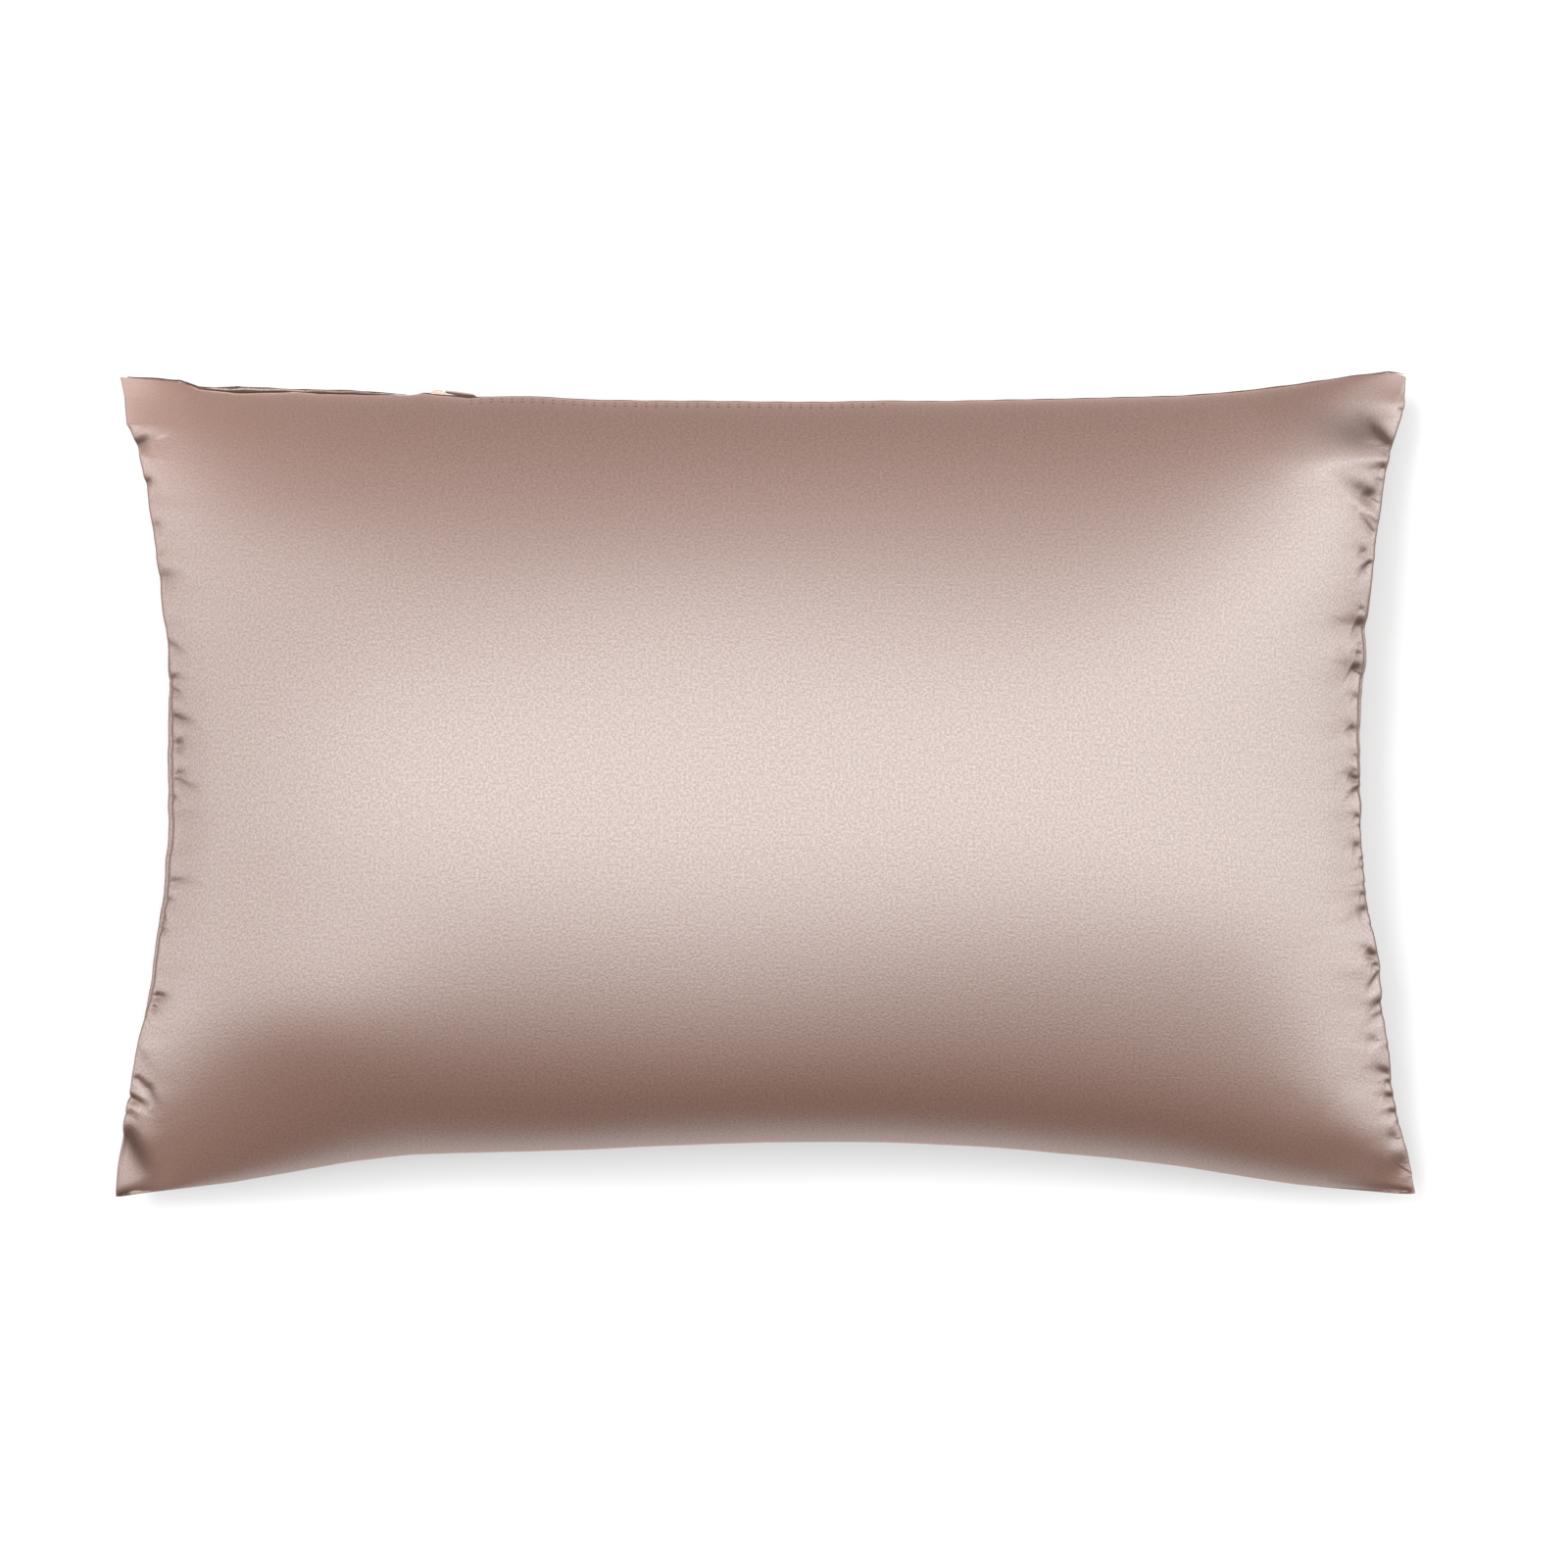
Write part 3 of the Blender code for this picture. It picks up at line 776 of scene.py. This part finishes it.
def cut_cloth(case):
    """The two flat cloths, back below front, as a grid that is finer where it gathers."""
    sizes = case.sizes
    bm = bmesh.new()
    bmesh.ops.create_grid(
        bm,
        x_segments=round(sizes.cut_length / sizes.cell),
        y_segments=round(sizes.cut_width / sizes.cell),
        size=0.5,
        matrix=Matrix.Diagonal((sizes.cut_length, sizes.cut_width, 1, 1)),
    )
    refine(bm, case, sizes.cell, FINEST_OF_BOTH)
    raised = bmesh.ops.extrude_face_region(bm, geom=bm.faces[:])["geom"]
    for vert in raised:
        if isinstance(vert, bmesh.types.BMVert):
            vert.co.z = 1.0
    refine(bm, case, FINEST_OF_BOTH, FINEST_OF_FRONT)
    bmesh.ops.triangulate(bm, faces=[face for face in bm.faces if len(face.verts) > 4])
    bmesh.ops.recalc_face_normals(bm, faces=bm.faces[:])
    return bm


def refine(bm, case, cell, finest):
    """Splits the cloth's cells, the front's only once it is raised, down to the finest."""
    while cell > finest * CELL_SLACK:
        top = max(vert.co.z for vert in bm.verts)
        edges = [e for e in bm.edges if min(e.verts[0].co.z, e.verts[1].co.z) == top]
        middles = np.array([(e.verts[0].co + e.verts[1].co) / 2 for e in edges])
        wanted = cell_size(case, middles)
        coarse = [
            edge for edge, size in zip(edges, wanted)
            if size < cell * LONG_EDGE < edge.calc_length()
        ]
        bmesh.ops.subdivide_edges(bm, edges=coarse, cuts=1, use_grid_fill=True)
        cell /= 2


def read_vectors(mesh, what):
    """The places or the normals of a mesh's points, one row each."""
    values = np.empty(len(mesh.vertices) * 3, dtype=np.float32)
    mesh.vertices.foreach_get(what, values)
    return values.reshape(-1, 3)


def place_points(mesh, points):
    """Moves a mesh's points to these places."""
    mesh.vertices.foreach_set("co", points.astype(np.float32).ravel())
    mesh.update()


def side_shade(case, flat, side, distance, width, darkness):
    """How much shade is painted on a band of the cloth beside one side."""
    off = (case.from_seams(flat)[side] - distance) / width
    return darkness * np.exp(-(off**2))


def make_cloth_mesh(case):
    """The filled case's closed mesh, with its flat cut as a UV map and its painted shading."""
    bm = cut_cloth(case)
    cut = bm.loops.layers.uv.new("cut")
    for face in bm.faces:
        for loop in face.loops:
            loop[cut].uv = loop.vert.co.xy
    mesh = bpy.data.meshes.new("satin_case")
    bm.to_mesh(mesh)
    bm.free()
    flat = read_vectors(mesh, "co").astype(float)
    on_front = flat[:, 2] > 0.5
    points = case.points(flat, on_front)
    place_points(mesh, points)
    normals = read_vectors(mesh, "normal")
    pressed, painted_shading = crease_field(case.plan(flat), RIGHT_CREASES + LEFT_CREASES)
    pressed += crease_field(case.plan(flat), HOLLOWS)[0]
    points = points - case.press_directions(flat, on_front, normals) * pressed[:, None]
    place_points(mesh, points)
    # Painted shade: on the back beside the left seam's roll and, carried round the side seams,
    # the creases' shade; then along the near fold on both cloths.
    rolled = side_shade(case, flat, *ROLL_SHADE)
    painted_shading = np.where(on_front, painted_shading, np.maximum(rolled, painted_shading * case.at_seam(flat)))
    painted_shading = np.maximum(painted_shading, side_shade(case, flat, *FOLD_SHADE))
    shade = mesh.attributes.new("painted_shading", "FLOAT", "POINT")
    shade.data.foreach_set("value", painted_shading.astype(np.float32))
    mesh.shade_smooth()
    return mesh


# ---- the zip ----------------------------------------------------------------------------


class Sweep:
    """A closed tube that grows from station to station along a path."""

    def __init__(self, bm, sides):
        self.bm = bm
        made = bmesh.ops.create_circle(bm, cap_ends=True, segments=sides, radius=0.5)
        self.ring = made["verts"]
        self.face = self.ring[0].link_faces[0]
        self.place = Matrix.Identity(4)
        self.started = False

    def carry_on(self, point, run, width, height):
        """Goes on to this point, across the run, with an oval of this width and height."""
        side = run.cross(Vector((0, 0, 1))).normalized()
        up = side.cross(run).normalized()
        columns = (side * width, up * height, run.normalized())
        place = Matrix.Translation(point) @ Matrix(columns).transposed().to_4x4()
        if self.started:
            grown = bmesh.ops.extrude_face_region(self.bm, geom=[self.face])["geom"]
            self.ring = [item for item in grown if isinstance(item, bmesh.types.BMVert)]
            self.face = next(item for item in grown if isinstance(item, bmesh.types.BMFace))
        change = place @ self.place.inverted()
        bmesh.ops.transform(self.bm, matrix=change, verts=self.ring)
        self.place = place
        self.started = True


def far_seam(sizes, along, out, up):
    """A point beside the far seam, at a share of it, this far outside and above it."""
    points, inward = outline_point("far", np.array((along,)))
    x, y = points[0] - inward * out
    height = sizes.seam_height + (sizes.tip_height - sizes.seam_height) * (2 * along - 1) ** 2
    return Vector((x, y, height + up))


def lip_waver(along, darkness, share_of_size, count, shift):
    """How far a roll's way strays here, as a share of its thickness."""
    return share_of_size * math.sin(count * along + shift * darkness)


def make_lips(sizes):
    """The far seam's sewn edge, and the folded lips that part over the zip at its left end.

    Each roll carries painted shade, or a painted highlight where it is paler.
    """
    bm = bmesh.new()
    painted_shading = bm.verts.layers.float.new("painted_shading")
    for darkness, path in LIPS:
        sweep = Sweep(bm, LIP_SIDES)
        places, outs, ups, widths = zip(*path)
        for along in np.linspace(places[0], places[-1], LIP_STATIONS):
            out, up, size = (np.interp(along, places, row) for row in (outs, ups, widths))
            out += size * lip_waver(along, darkness, *LIP_WAVER_OUT)
            up += size * lip_waver(along, darkness, *LIP_WAVER_UP)
            point = far_seam(sizes, along, out * MM, up * MM)
            ahead = far_seam(sizes, along + LIP_AHEAD, out * MM, up * MM)
            sweep.carry_on(point, ahead - point, size * MM, LIP_FLATNESS * size * MM)
            # The roll's painted shading: shade, or below 0 a painted highlight.
            for vert in sweep.ring:
                vert[painted_shading] = darkness
    bmesh.ops.recalc_face_normals(bm, faces=bm.faces[:])
    mesh = bpy.data.meshes.new("zip_lips")
    bm.to_mesh(mesh)
    bm.free()
    cut = mesh.uv_layers.new(name="cut")
    for loop in mesh.loops:
        point = mesh.vertices[loop.vertex_index].co
        cut.data[loop.index].uv = (point.x, point.z + point.y / 2 + LIP_CUT_SHIFT)
    mesh.shade_smooth()
    return mesh


# The slider's shape, as shares of its half length and half height: how much its plates narrow
# at the nose, and where the post and the bridge start and end and how high they are.
NOSE_TAPER = 0.45
POST = (-0.9, -0.3, 0.3)
BRIDGE = (-0.55, 0.45, 0.22)

# The pull's shape: its cells along and across; how late it broadens; the shares of its length
# that are round at the broad end and at the neck, and how blunt they stay; its rim as a share
# of the neck; and its dish and its core as shares of its thickness.
PULL_CELLS = (28, 4)
PULL_BROADENING = 0.8
PULL_ROUND_END = 0.14
PULL_ROUND_NECK = 0.05
PULL_BLUNT = 0.12
PULL_RIM = 0.3
PULL_DISH = 0.12
PULL_CORE = 0.85

# By which share of the far side the slider looks ahead for its direction, and the angle, in
# degrees, past which an edge of the zip stays sharp.
SLIDER_AHEAD = 0.02
SHARP_EDGE = 40


def zip_place(sizes, parts):
    """Where the slider sits: X along the far seam, Y out of the case and Z up."""
    root = far_seam(sizes, parts.along, 0, 0)
    run = far_seam(sizes, parts.along + SLIDER_AHEAD, 0, 0) - root
    ((x, y),), _ = drawn_in("far", np.array((parts.along,)))
    place = Matrix.Translation((x, y - parts.set_in, root.z))
    return place @ Matrix.Rotation(math.atan2(run.y, run.x), 4, "Z")


def add_block(bm, low, high, rounding):
    """A box between two corners with rounded edges."""
    low, high = Vector(low), Vector(high)
    size = Matrix.Diagonal((*(high - low), 1))
    place = Matrix.Translation((low + high) / 2) @ size
    verts = bmesh.ops.create_cube(bm, size=1.0, matrix=place)["verts"]
    edges = list({edge for vert in verts for edge in vert.link_edges})
    rounded = bmesh.ops.bevel(
        bm, geom=edges, offset=rounding, segments=3, profile=0.5, affect="EDGES", material=-1
    )
    return list({vert for face in rounded["faces"] for vert in face.verts})


def make_slider(sizes, parts):
    """The slider: two plates on a nose post, and the bridge that holds the pull."""
    bm = bmesh.new()
    half, tall = parts.slider_length / 2, parts.slider_height / 2
    wall, deep, start = parts.slider_wall, parts.slider_depth, parts.gap
    inner = ((-half, start, -tall), (half, start + wall, tall))
    outer = ((-half, start + deep - 2 * wall, -tall), (half, start + deep - wall, tall))
    for low, high in (inner, outer):
        for vert in add_block(bm, low, high, parts.rounding):
            nose = max(0.0, -vert.co.x / half)
            vert.co.z *= 1 - NOSE_TAPER * nose**2
    back, front, high = POST[0] * half, POST[1] * half, POST[2] * tall
    low_corner, high_corner = (back, start + wall, -high), (front, outer[0][1], high)
    add_block(bm, low_corner, high_corner, parts.rounding)
    back, front, high = BRIDGE[0] * half, BRIDGE[1] * half, BRIDGE[2] * tall
    top = start + deep
    for end in (back, front):
        foot = (end + wall, top - 0.2 * wall, high)
        add_block(bm, (end, top - wall, -high), foot, parts.rounding)
    add_block(bm, (back, top - 0.5 * wall, -high), (front + wall, top, high), parts.rounding)
    return finished_zip_mesh(bm, "zip_slider_detail", zip_place(sizes, parts))


def rounding_at(from_end, round_share):
    """How wide a round end is at this share of the length from it, 1 where it is past."""
    return math.sqrt(max(0.0, 1 - max(0.0, 1 - from_end / round_share) ** 2))


def make_pull(sizes, parts):
    """The pull: a flat teardrop with a raised rim that lies along the seam."""
    bm = bmesh.new()
    cells_along, cells_across = PULL_CELLS
    made = bmesh.ops.create_grid(
        bm, x_segments=cells_along, y_segments=cells_across, size=0.5
    )
    for vert in made["verts"]:
        along = vert.co.x + 0.5
        spread = (parts.pull_width - parts.pull_neck) * along**PULL_BROADENING
        rounded = rounding_at(1 - along, PULL_ROUND_END) * rounding_at(along, PULL_ROUND_NECK)
        across = vert.co.y * (parts.pull_neck + spread) * max(PULL_BLUNT, rounded)
        vert.co = (parts.pull_length * along, across, 0)
    panel = bmesh.ops.inset_region(
        bm, faces=bm.faces[:], thickness=parts.pull_neck * PULL_RIM
    )
    rim = set(panel["faces"])
    middle = [face for face in bm.faces if face not in rim]
    for vert in {vert for face in middle for vert in face.verts}:
        vert.co.z -= parts.pull_thickness * PULL_DISH
    bmesh.ops.solidify(bm, geom=bm.faces[:], thickness=parts.pull_thickness * PULL_CORE)
    bmesh.ops.recalc_face_normals(bm, faces=bm.faces[:])
    beside = parts.slider_length / 2 + parts.gap
    out = parts.gap + parts.pull_thickness / 2 + parts.pull_width / 2 * math.sin(parts.pull_lean)
    stand_up = Matrix.Rotation(math.pi / 2 - parts.pull_lean, 4, "X")
    turned = Matrix.Rotation(-parts.pull_turn, 4, "Z") @ stand_up
    place = zip_place(sizes, parts) @ Matrix.Translation((beside, out, 0)) @ turned
    return finished_zip_mesh(bm, "zip_pull_detail", place)


def finished_zip_mesh(bm, name, place):
    """A mesh of these parts in their place, smooth but for its corners."""
    bmesh.ops.transform(bm, matrix=place, verts=bm.verts[:])
    bmesh.ops.recalc_face_normals(bm, faces=bm.faces[:])
    mesh = bpy.data.meshes.new(name)
    bm.to_mesh(mesh)
    bm.free()
    mesh.shade_smooth()
    mesh.set_sharp_from_angle(angle=math.radians(SHARP_EDGE))
    return mesh


# ---- shaders ----------------------------------------------------------------------------


class Value:
    """A shader socket that holds a number: arithmetic on it adds Math nodes."""

    def __init__(self, shader, socket):
        self.shader = shader
        self.socket = socket

    def math(self, operation, *others):
        """This number, with others where the operation takes them, through a Math node."""
        return self.shader.math(operation, self, *others)

    def __add__(self, other):
        return self.shader.math("ADD", self, other)

    def __radd__(self, other):
        return self.shader.math("ADD", other, self)

    def __sub__(self, other):
        return self.shader.math("SUBTRACT", self, other)

    def __rsub__(self, other):
        return self.shader.math("SUBTRACT", other, self)

    def __mul__(self, other):
        return self.shader.math("MULTIPLY", self, other)

    def __rmul__(self, other):
        return self.shader.math("MULTIPLY", other, self)

    def __truediv__(self, other):
        return self.shader.math("DIVIDE", self, other)

    def __rtruediv__(self, other):
        return self.shader.math("DIVIDE", other, self)


class Shader:
    """Adds nodes to one node tree."""

    def __init__(self, tree):
        self.tree = tree

    def node(self, kind, settings=None, inputs=()):
        """A node of this kind. settings are set first; inputs are values or links."""
        node = self.tree.nodes.new(kind)
        for name, setting in (settings or {}).items():
            setattr(node, name, setting)
        pairs = inputs.items() if isinstance(inputs, dict) else enumerate(inputs)
        for name, given in pairs:
            self.plug(node.inputs[name], given)
        return node

    def plug(self, socket, given):
        """Links a socket to another node's output, or sets it."""
        if isinstance(given, Value):
            given = given.socket
        if isinstance(given, bpy.types.NodeSocket):
            self.tree.links.new(given, socket)
        else:
            socket.default_value = given

    def value(self, node, output=0):
        """A node's output as a number to reckon with."""
        return Value(self, node.outputs[output])

    def math(self, operation, *numbers):
        """Numbers through a Math node."""
        return self.value(self.node("ShaderNodeMath", {"operation": operation}, numbers))

    def blend(self, factor, first, second):
        """A colour between two, by a factor."""
        node = self.node("ShaderNodeMix", {"data_type": "RGBA"}, {"Factor": factor})
        for socket, given in zip((s for s in node.inputs if s.type == "RGBA"), (first, second)):
            self.plug(socket, given)
        return next(socket for socket in node.outputs if socket.type == "RGBA")


def new_material(name):
    """A material with a Principled shader, and what adds nodes to it."""
    material = bpy.data.materials.new(name)
    material.use_nodes = True
    shader = Shader(material.node_tree)
    return material, shader, material.node_tree.nodes["Principled BSDF"]


def scaled(colour_value, factor):
    """A colour made lighter or darker, with its alpha."""
    return (*(channel * factor for channel in colour_value), 1.0)


def make_satin(sizes, look):
    """Satin: a strong soft sheen over a dark yarn, with fine mottling from its floats."""
    material, shader, principled = new_material("satin_weave")
    place = shader.node("ShaderNodeUVMap", {"uv_map": "cut"}).outputs["UV"]
    noise = shader.node(
        "ShaderNodeTexNoise",
        {"noise_dimensions": "2D"},
        {"Vector": place, "Scale": 1 / look.mottle, "Detail": 2.0, "Roughness": 0.6},
    )
    # The noise stays near 0.5; the contrast spreads it over 0 to 1.
    floats = limited((shader.value(noise) - 0.5) * look.contrast + 0.5)
    tone = shader.blend(
        floats, scaled(look.colour, 1 + look.tone), scaled(look.colour, 1 - look.tone)
    )
    painted_shading = shader.value(shader.node("ShaderNodeAttribute", {"attribute_name": "painted_shading"}), "Fac")
    # Painted light: paler towards the corners, and on rolls whose painted shading is below 0.
    pale = corner_light_share(sizes, look, shader, place).math("MAXIMUM", painted_shading * -1.0)
    paler = shader.blend(pale, tone, scaled(look.painted_light_colour, 1.0))
    shader.plug(principled.inputs["Base Color"], paler)
    gloss = (floats - 0.5) * look.gloss + look.roughness
    shader.plug(principled.inputs["Roughness"], gloss)
    principled.inputs["IOR"].default_value = look.refraction
    principled.inputs["Specular IOR Level"].default_value = look.specular
    principled.inputs["Sheen Weight"].default_value = look.fuzz
    principled.inputs["Sheen Roughness"].default_value = look.fuzz_roughness
    principled.inputs["Sheen Tint"].default_value = scaled(look.fuzz_colour, 1.0)
    marks = stitch_marks(sizes, look, shader, place)
    height = floats - marks * look.stitch_depth
    bump = shader.node(
        "ShaderNodeBump",
        None,
        {"Strength": look.relief, "Distance": look.grain_height, "Height": height},
    )
    shader.plug(principled.inputs["Normal"], bump.outputs["Normal"])
    # A dark, matt surface for the thread, also mixed in as painted shade.
    thread = shader.node(
        "ShaderNodeBsdfPrincipled",
        None,
        {
            "Base Color": scaled(look.thread, 1.0),
            "Roughness": look.thread_roughness,
            "Specular IOR Level": look.thread_specular,
        },
    )
    # Thread, painted seam shade and the painted shading take the sheen away, along with the
    # mottling and an even dullness.
    dark = marks.math("MAXIMUM", painted_shading * look.painted_shade_strength)
    dull_and_shaded = limited(dark + (floats - 0.5) * look.grain + look.dullness)
    surfaces = (principled.outputs["BSDF"], thread.outputs["BSDF"])
    mixed = shader.node("ShaderNodeMixShader", None, (dull_and_shaded, *surfaces))
    shader.plug(shader.tree.nodes["Material Output"].inputs["Surface"], mixed.outputs[0])
    return material


def flat_place(shader, place):
    """Where the cloth's flat cut lies, along and across the case from its middle."""
    parts = shader.node("ShaderNodeSeparateXYZ", None, [place])
    return shader.value(parts, "X"), shader.value(parts, "Y")


def corner_light_share(sizes, look, shader, place):
    """How much light is painted on the cloth near its corners, 0 to 1.

    The far left one counts most.
    """
    along, across = flat_place(shader, place)
    along, across = along / (sizes.cut_length / 2), across / (sizes.cut_width / 2)
    share_along = along * along
    share_along = share_along * share_along
    far_left = along.math("LESS_THAN", 0.0) * across.math("GREATER_THAN", 0.0)
    at_tip = far_left * (1 - look.other_corners) + look.other_corners
    return limited(share_along * across * across * at_tip)


def stitch_marks(sizes, look, shader, place):
    """Where the seams' thread and its painted shade darken the satin: 1 where they hide the
    sheen.
    """
    along, across = flat_place(shader, place)
    to_side = sizes.cut_length / 2 - along.math("ABSOLUTE")
    to_far = sizes.cut_width / 2 - across
    nearest = to_side.math("MINIMUM", to_far * look.far_fade)
    marks = limited(1.0 - nearest / look.seam_reach) * look.seam_dark
    for start, end, distance, pitch, size_along, size_across in STITCH_ROWS:
        step = (along / (pitch * MM)).math("FRACT") - 0.5
        step = step * (2 * pitch / size_along)
        off = (to_far - distance * MM) / (size_across * MM / 2)
        dots = limited(1.0 - step * step - off * off)
        inside = along.math("GREATER_THAN", start * MM) * along.math("LESS_THAN", end * MM)
        marks = marks.math("MAXIMUM", dots * inside * look.stitch_dark)
    return marks


def limited(number):
    """A number kept between 0 and 1."""
    return number.math("MAXIMUM", 0.0).math("MINIMUM", 1.0)


def make_lacquer(parts):
    """Pale lacquer over metal, lightly worn at its bumps."""
    material, shader, principled = new_material("zip_lacquer")
    place = shader.node("ShaderNodeTexCoord").outputs["Object"]
    noise = shader.node(
        "ShaderNodeTexNoise", None, {"Vector": place, "Scale": parts.wear_count, "Detail": 2.0}
    )
    worn = shader.value(noise)
    unworn = scaled(parts.lacquer, 1 - parts.wear_tone)
    tone = shader.blend(worn, unworn, scaled(parts.lacquer, 1 + parts.wear_tone))
    shader.plug(principled.inputs["Base Color"], tone)
    roughness = worn * parts.wear + parts.lacquer_roughness
    shader.plug(principled.inputs["Roughness"], roughness)
    principled.inputs["Metallic"].default_value = parts.metal
    return material


# ---- operators --------------------------------------------------------------------------


def add_piece(name, mesh, material):
    """An object of this mesh at the origin, which rides on the case's body."""
    piece = bpy.data.objects.new(name, mesh)
    bpy.context.scene.collection.objects.link(piece)
    mesh.materials.clear()
    mesh.materials.append(material)
    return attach(piece, "root")


class PILLOWCASE_OT_case(Operator):
    """Add the filled satin case"""

    bl_idname = "pillowcase.add_case"
    bl_label = "Filled case"

    def execute(self, context):
        sizes = context.scene.pillowcase_case
        material = make_satin(sizes, context.scene.pillowcase_satin)
        piece = add_piece("satin_case", make_cloth_mesh(FilledCase(sizes)), material)
        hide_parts("case")
        return {"FINISHED"}


class PILLOWCASE_OT_lips(Operator):
    """Add the two lips of the zip's seam"""

    bl_idname = "pillowcase.add_lips"
    bl_label = "Zip lips"

    def execute(self, context):
        material = bpy.data.materials["satin_weave"]
        piece = add_piece("zip_lips", make_lips(context.scene.pillowcase_case), material)
        return {"FINISHED"}


class PILLOWCASE_OT_zip(Operator):
    """Add the zip's slider and pull"""

    bl_idname = "pillowcase.add_zip"
    bl_label = "Zip slider and pull"

    def execute(self, context):
        sizes, parts = context.scene.pillowcase_case, context.scene.pillowcase_zip
        material = make_lacquer(parts)
        for make, node in ((make_slider, "zip_slider"), (make_pull, "zip_pull")):
            piece = add_piece(node + "_detail", make(sizes, parts), material)
            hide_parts(node)
        return {"FINISHED"}


def light_world(look):
    """A light tent: one long soft strip over the case that dims towards near and far."""
    world = bpy.data.worlds.new("light_tent")
    world.use_nodes = True
    shader = Shader(world.node_tree)
    direction = shader.node("ShaderNodeTexCoord").outputs["Generated"]
    parts = shader.node("ShaderNodeSeparateXYZ", None, [direction])
    along, across, up = (shader.value(parts, axis) for axis in "XYZ")
    near = across.math("MINIMUM", 0.0)
    far = across.math("MAXIMUM", 0.0)
    left = along.math("MINIMUM", 0.0)
    left = left * left
    right = along.math("MAXIMUM", 0.0)
    right = right * right
    off_strip = near * look.near_narrowness + far * look.far_narrowness
    strip = 1.0 / (1.0 + off_strip * off_strip)
    at_near = near * near
    at_left = look.left_dark + far * look.left_far
    at_right = look.right_dark - near * look.right_near - far * look.right_far
    dimmed = at_near * (look.near_dark + left * look.corner_dark)
    dimmed = dimmed + left * at_left + right * at_right
    strip = (strip * (1.0 - dimmed)).math("MAXIMUM", 0.0) * look.light
    above = limited(up / look.horizon_blend + 1.0)
    strip = strip * above + (1.0 - above) * look.floor_sheen
    strip = strip - at_near * up.math("MINIMUM", 0.0) * look.near_floor
    background = world.node_tree.nodes["Background"]
    background.inputs["Color"].default_value = (1.0, 1.0, 1.0, 1.0)
    shader.plug(background.inputs["Strength"], strip)
    bpy.context.scene.world = world


def add_lamp(look):
    """A broad lamp that shades the floor beside the case; the satin doesn't mirror it."""
    data = bpy.data.lights.new("lamp", "SUN")
    data.energy = look.lamp
    data.angle = math.radians(look.lamp_softness)
    lamp = bpy.data.objects.new("lamp", data)
    lamp.rotation_euler = Vector(look.lamp_from).to_track_quat("Z", "Y").to_euler()
    lamp.visible_glossy = False
    bpy.context.scene.collection.objects.link(lamp)


class PILLOWCASE_OT_stage(Operator):
    """Add the floor, the light and the camera"""

    bl_idname = "pillowcase.add_stage"
    bl_label = "Stage"

    def execute(self, context):
        look = context.scene.pillowcase_stage
        bm = bmesh.new()
        bmesh.ops.create_grid(bm, x_segments=1, y_segments=1, size=look.floor_size / 2)
        mesh = bpy.data.meshes.new("floor")
        bm.to_mesh(mesh)
        bm.free()
        material, _, principled = new_material("floor_paper")
        principled.inputs["Base Color"].default_value = scaled(look.floor_colour, 1.0)
        principled.inputs["Emission Color"].default_value = (1.0, 1.0, 1.0, 1.0)
        principled.inputs["Emission Strength"].default_value = look.floor_glow
        principled.inputs["Roughness"].default_value = look.floor_roughness
        principled.inputs["Specular IOR Level"].default_value = 0.0
        mesh.materials.append(material)
        floor = bpy.data.objects.new("floor", mesh)
        floor.location.z = -look.floor_gap
        floor.visible_glossy = False
        context.scene.collection.objects.link(floor)
        light_world(look)
        add_lamp(look)
        camera_data = bpy.data.cameras.new("camera")
        camera_data.lens = look.lens
        camera_data.clip_end = look.farthest
        distance = look.view_width * look.lens / camera_data.sensor_width
        camera = bpy.data.objects.new("camera", camera_data)
        camera.location = (look.view_x, 0.0, look.view_height + distance)
        context.scene.collection.objects.link(camera)
        context.scene.camera = camera
        context.scene.view_settings.view_transform = "Standard"
        return {"FINISHED"}


class PILLOWCASE_PT_panel(Panel):
    """Lists the pieces and their settings"""

    bl_idname = "PILLOWCASE_PT_panel"
    bl_label = "Pillowcase"
    bl_space_type = "VIEW_3D"
    bl_region_type = "UI"
    bl_category = "Pillowcase"

    def draw(self, context):
        for operator, group in STEPS:
            box = self.layout.box()
            box.operator(operator.bl_idname)
            settings = getattr(context.scene, group)
            for name in settings.__annotations__:
                box.prop(settings, name)


GROUPS = {
    "pillowcase_case": CaseSettings,
    "pillowcase_satin": SatinSettings,
    "pillowcase_zip": ZipSettings,
    "pillowcase_stage": StageSettings,
}
STEPS = (
    (PILLOWCASE_OT_case, "pillowcase_case"),
    (PILLOWCASE_OT_lips, "pillowcase_satin"),
    (PILLOWCASE_OT_zip, "pillowcase_zip"),
    (PILLOWCASE_OT_stage, "pillowcase_stage"),
)
CLASSES = (*GROUPS.values(), *(operator for operator, _ in STEPS), PILLOWCASE_PT_panel)


def register():
    """Registers the classes and gives every scene its settings."""
    for cls in CLASSES:
        bpy.utils.register_class(cls)
    for name, group in GROUPS.items():
        setattr(bpy.types.Scene, name, PointerProperty(type=group))


def unregister():
    """Takes the settings and the classes away again."""
    for name in GROUPS:
        delattr(bpy.types.Scene, name)
    for cls in reversed(CLASSES):
        bpy.utils.unregister_class(cls)


def main():
    """Adds the pieces and the stage."""
    register()
    bpy.ops.pillowcase.add_case()
    bpy.ops.pillowcase.add_lips()
    bpy.ops.pillowcase.add_zip()
    bpy.ops.pillowcase.add_stage()


if __name__ == "__main__":
    main()
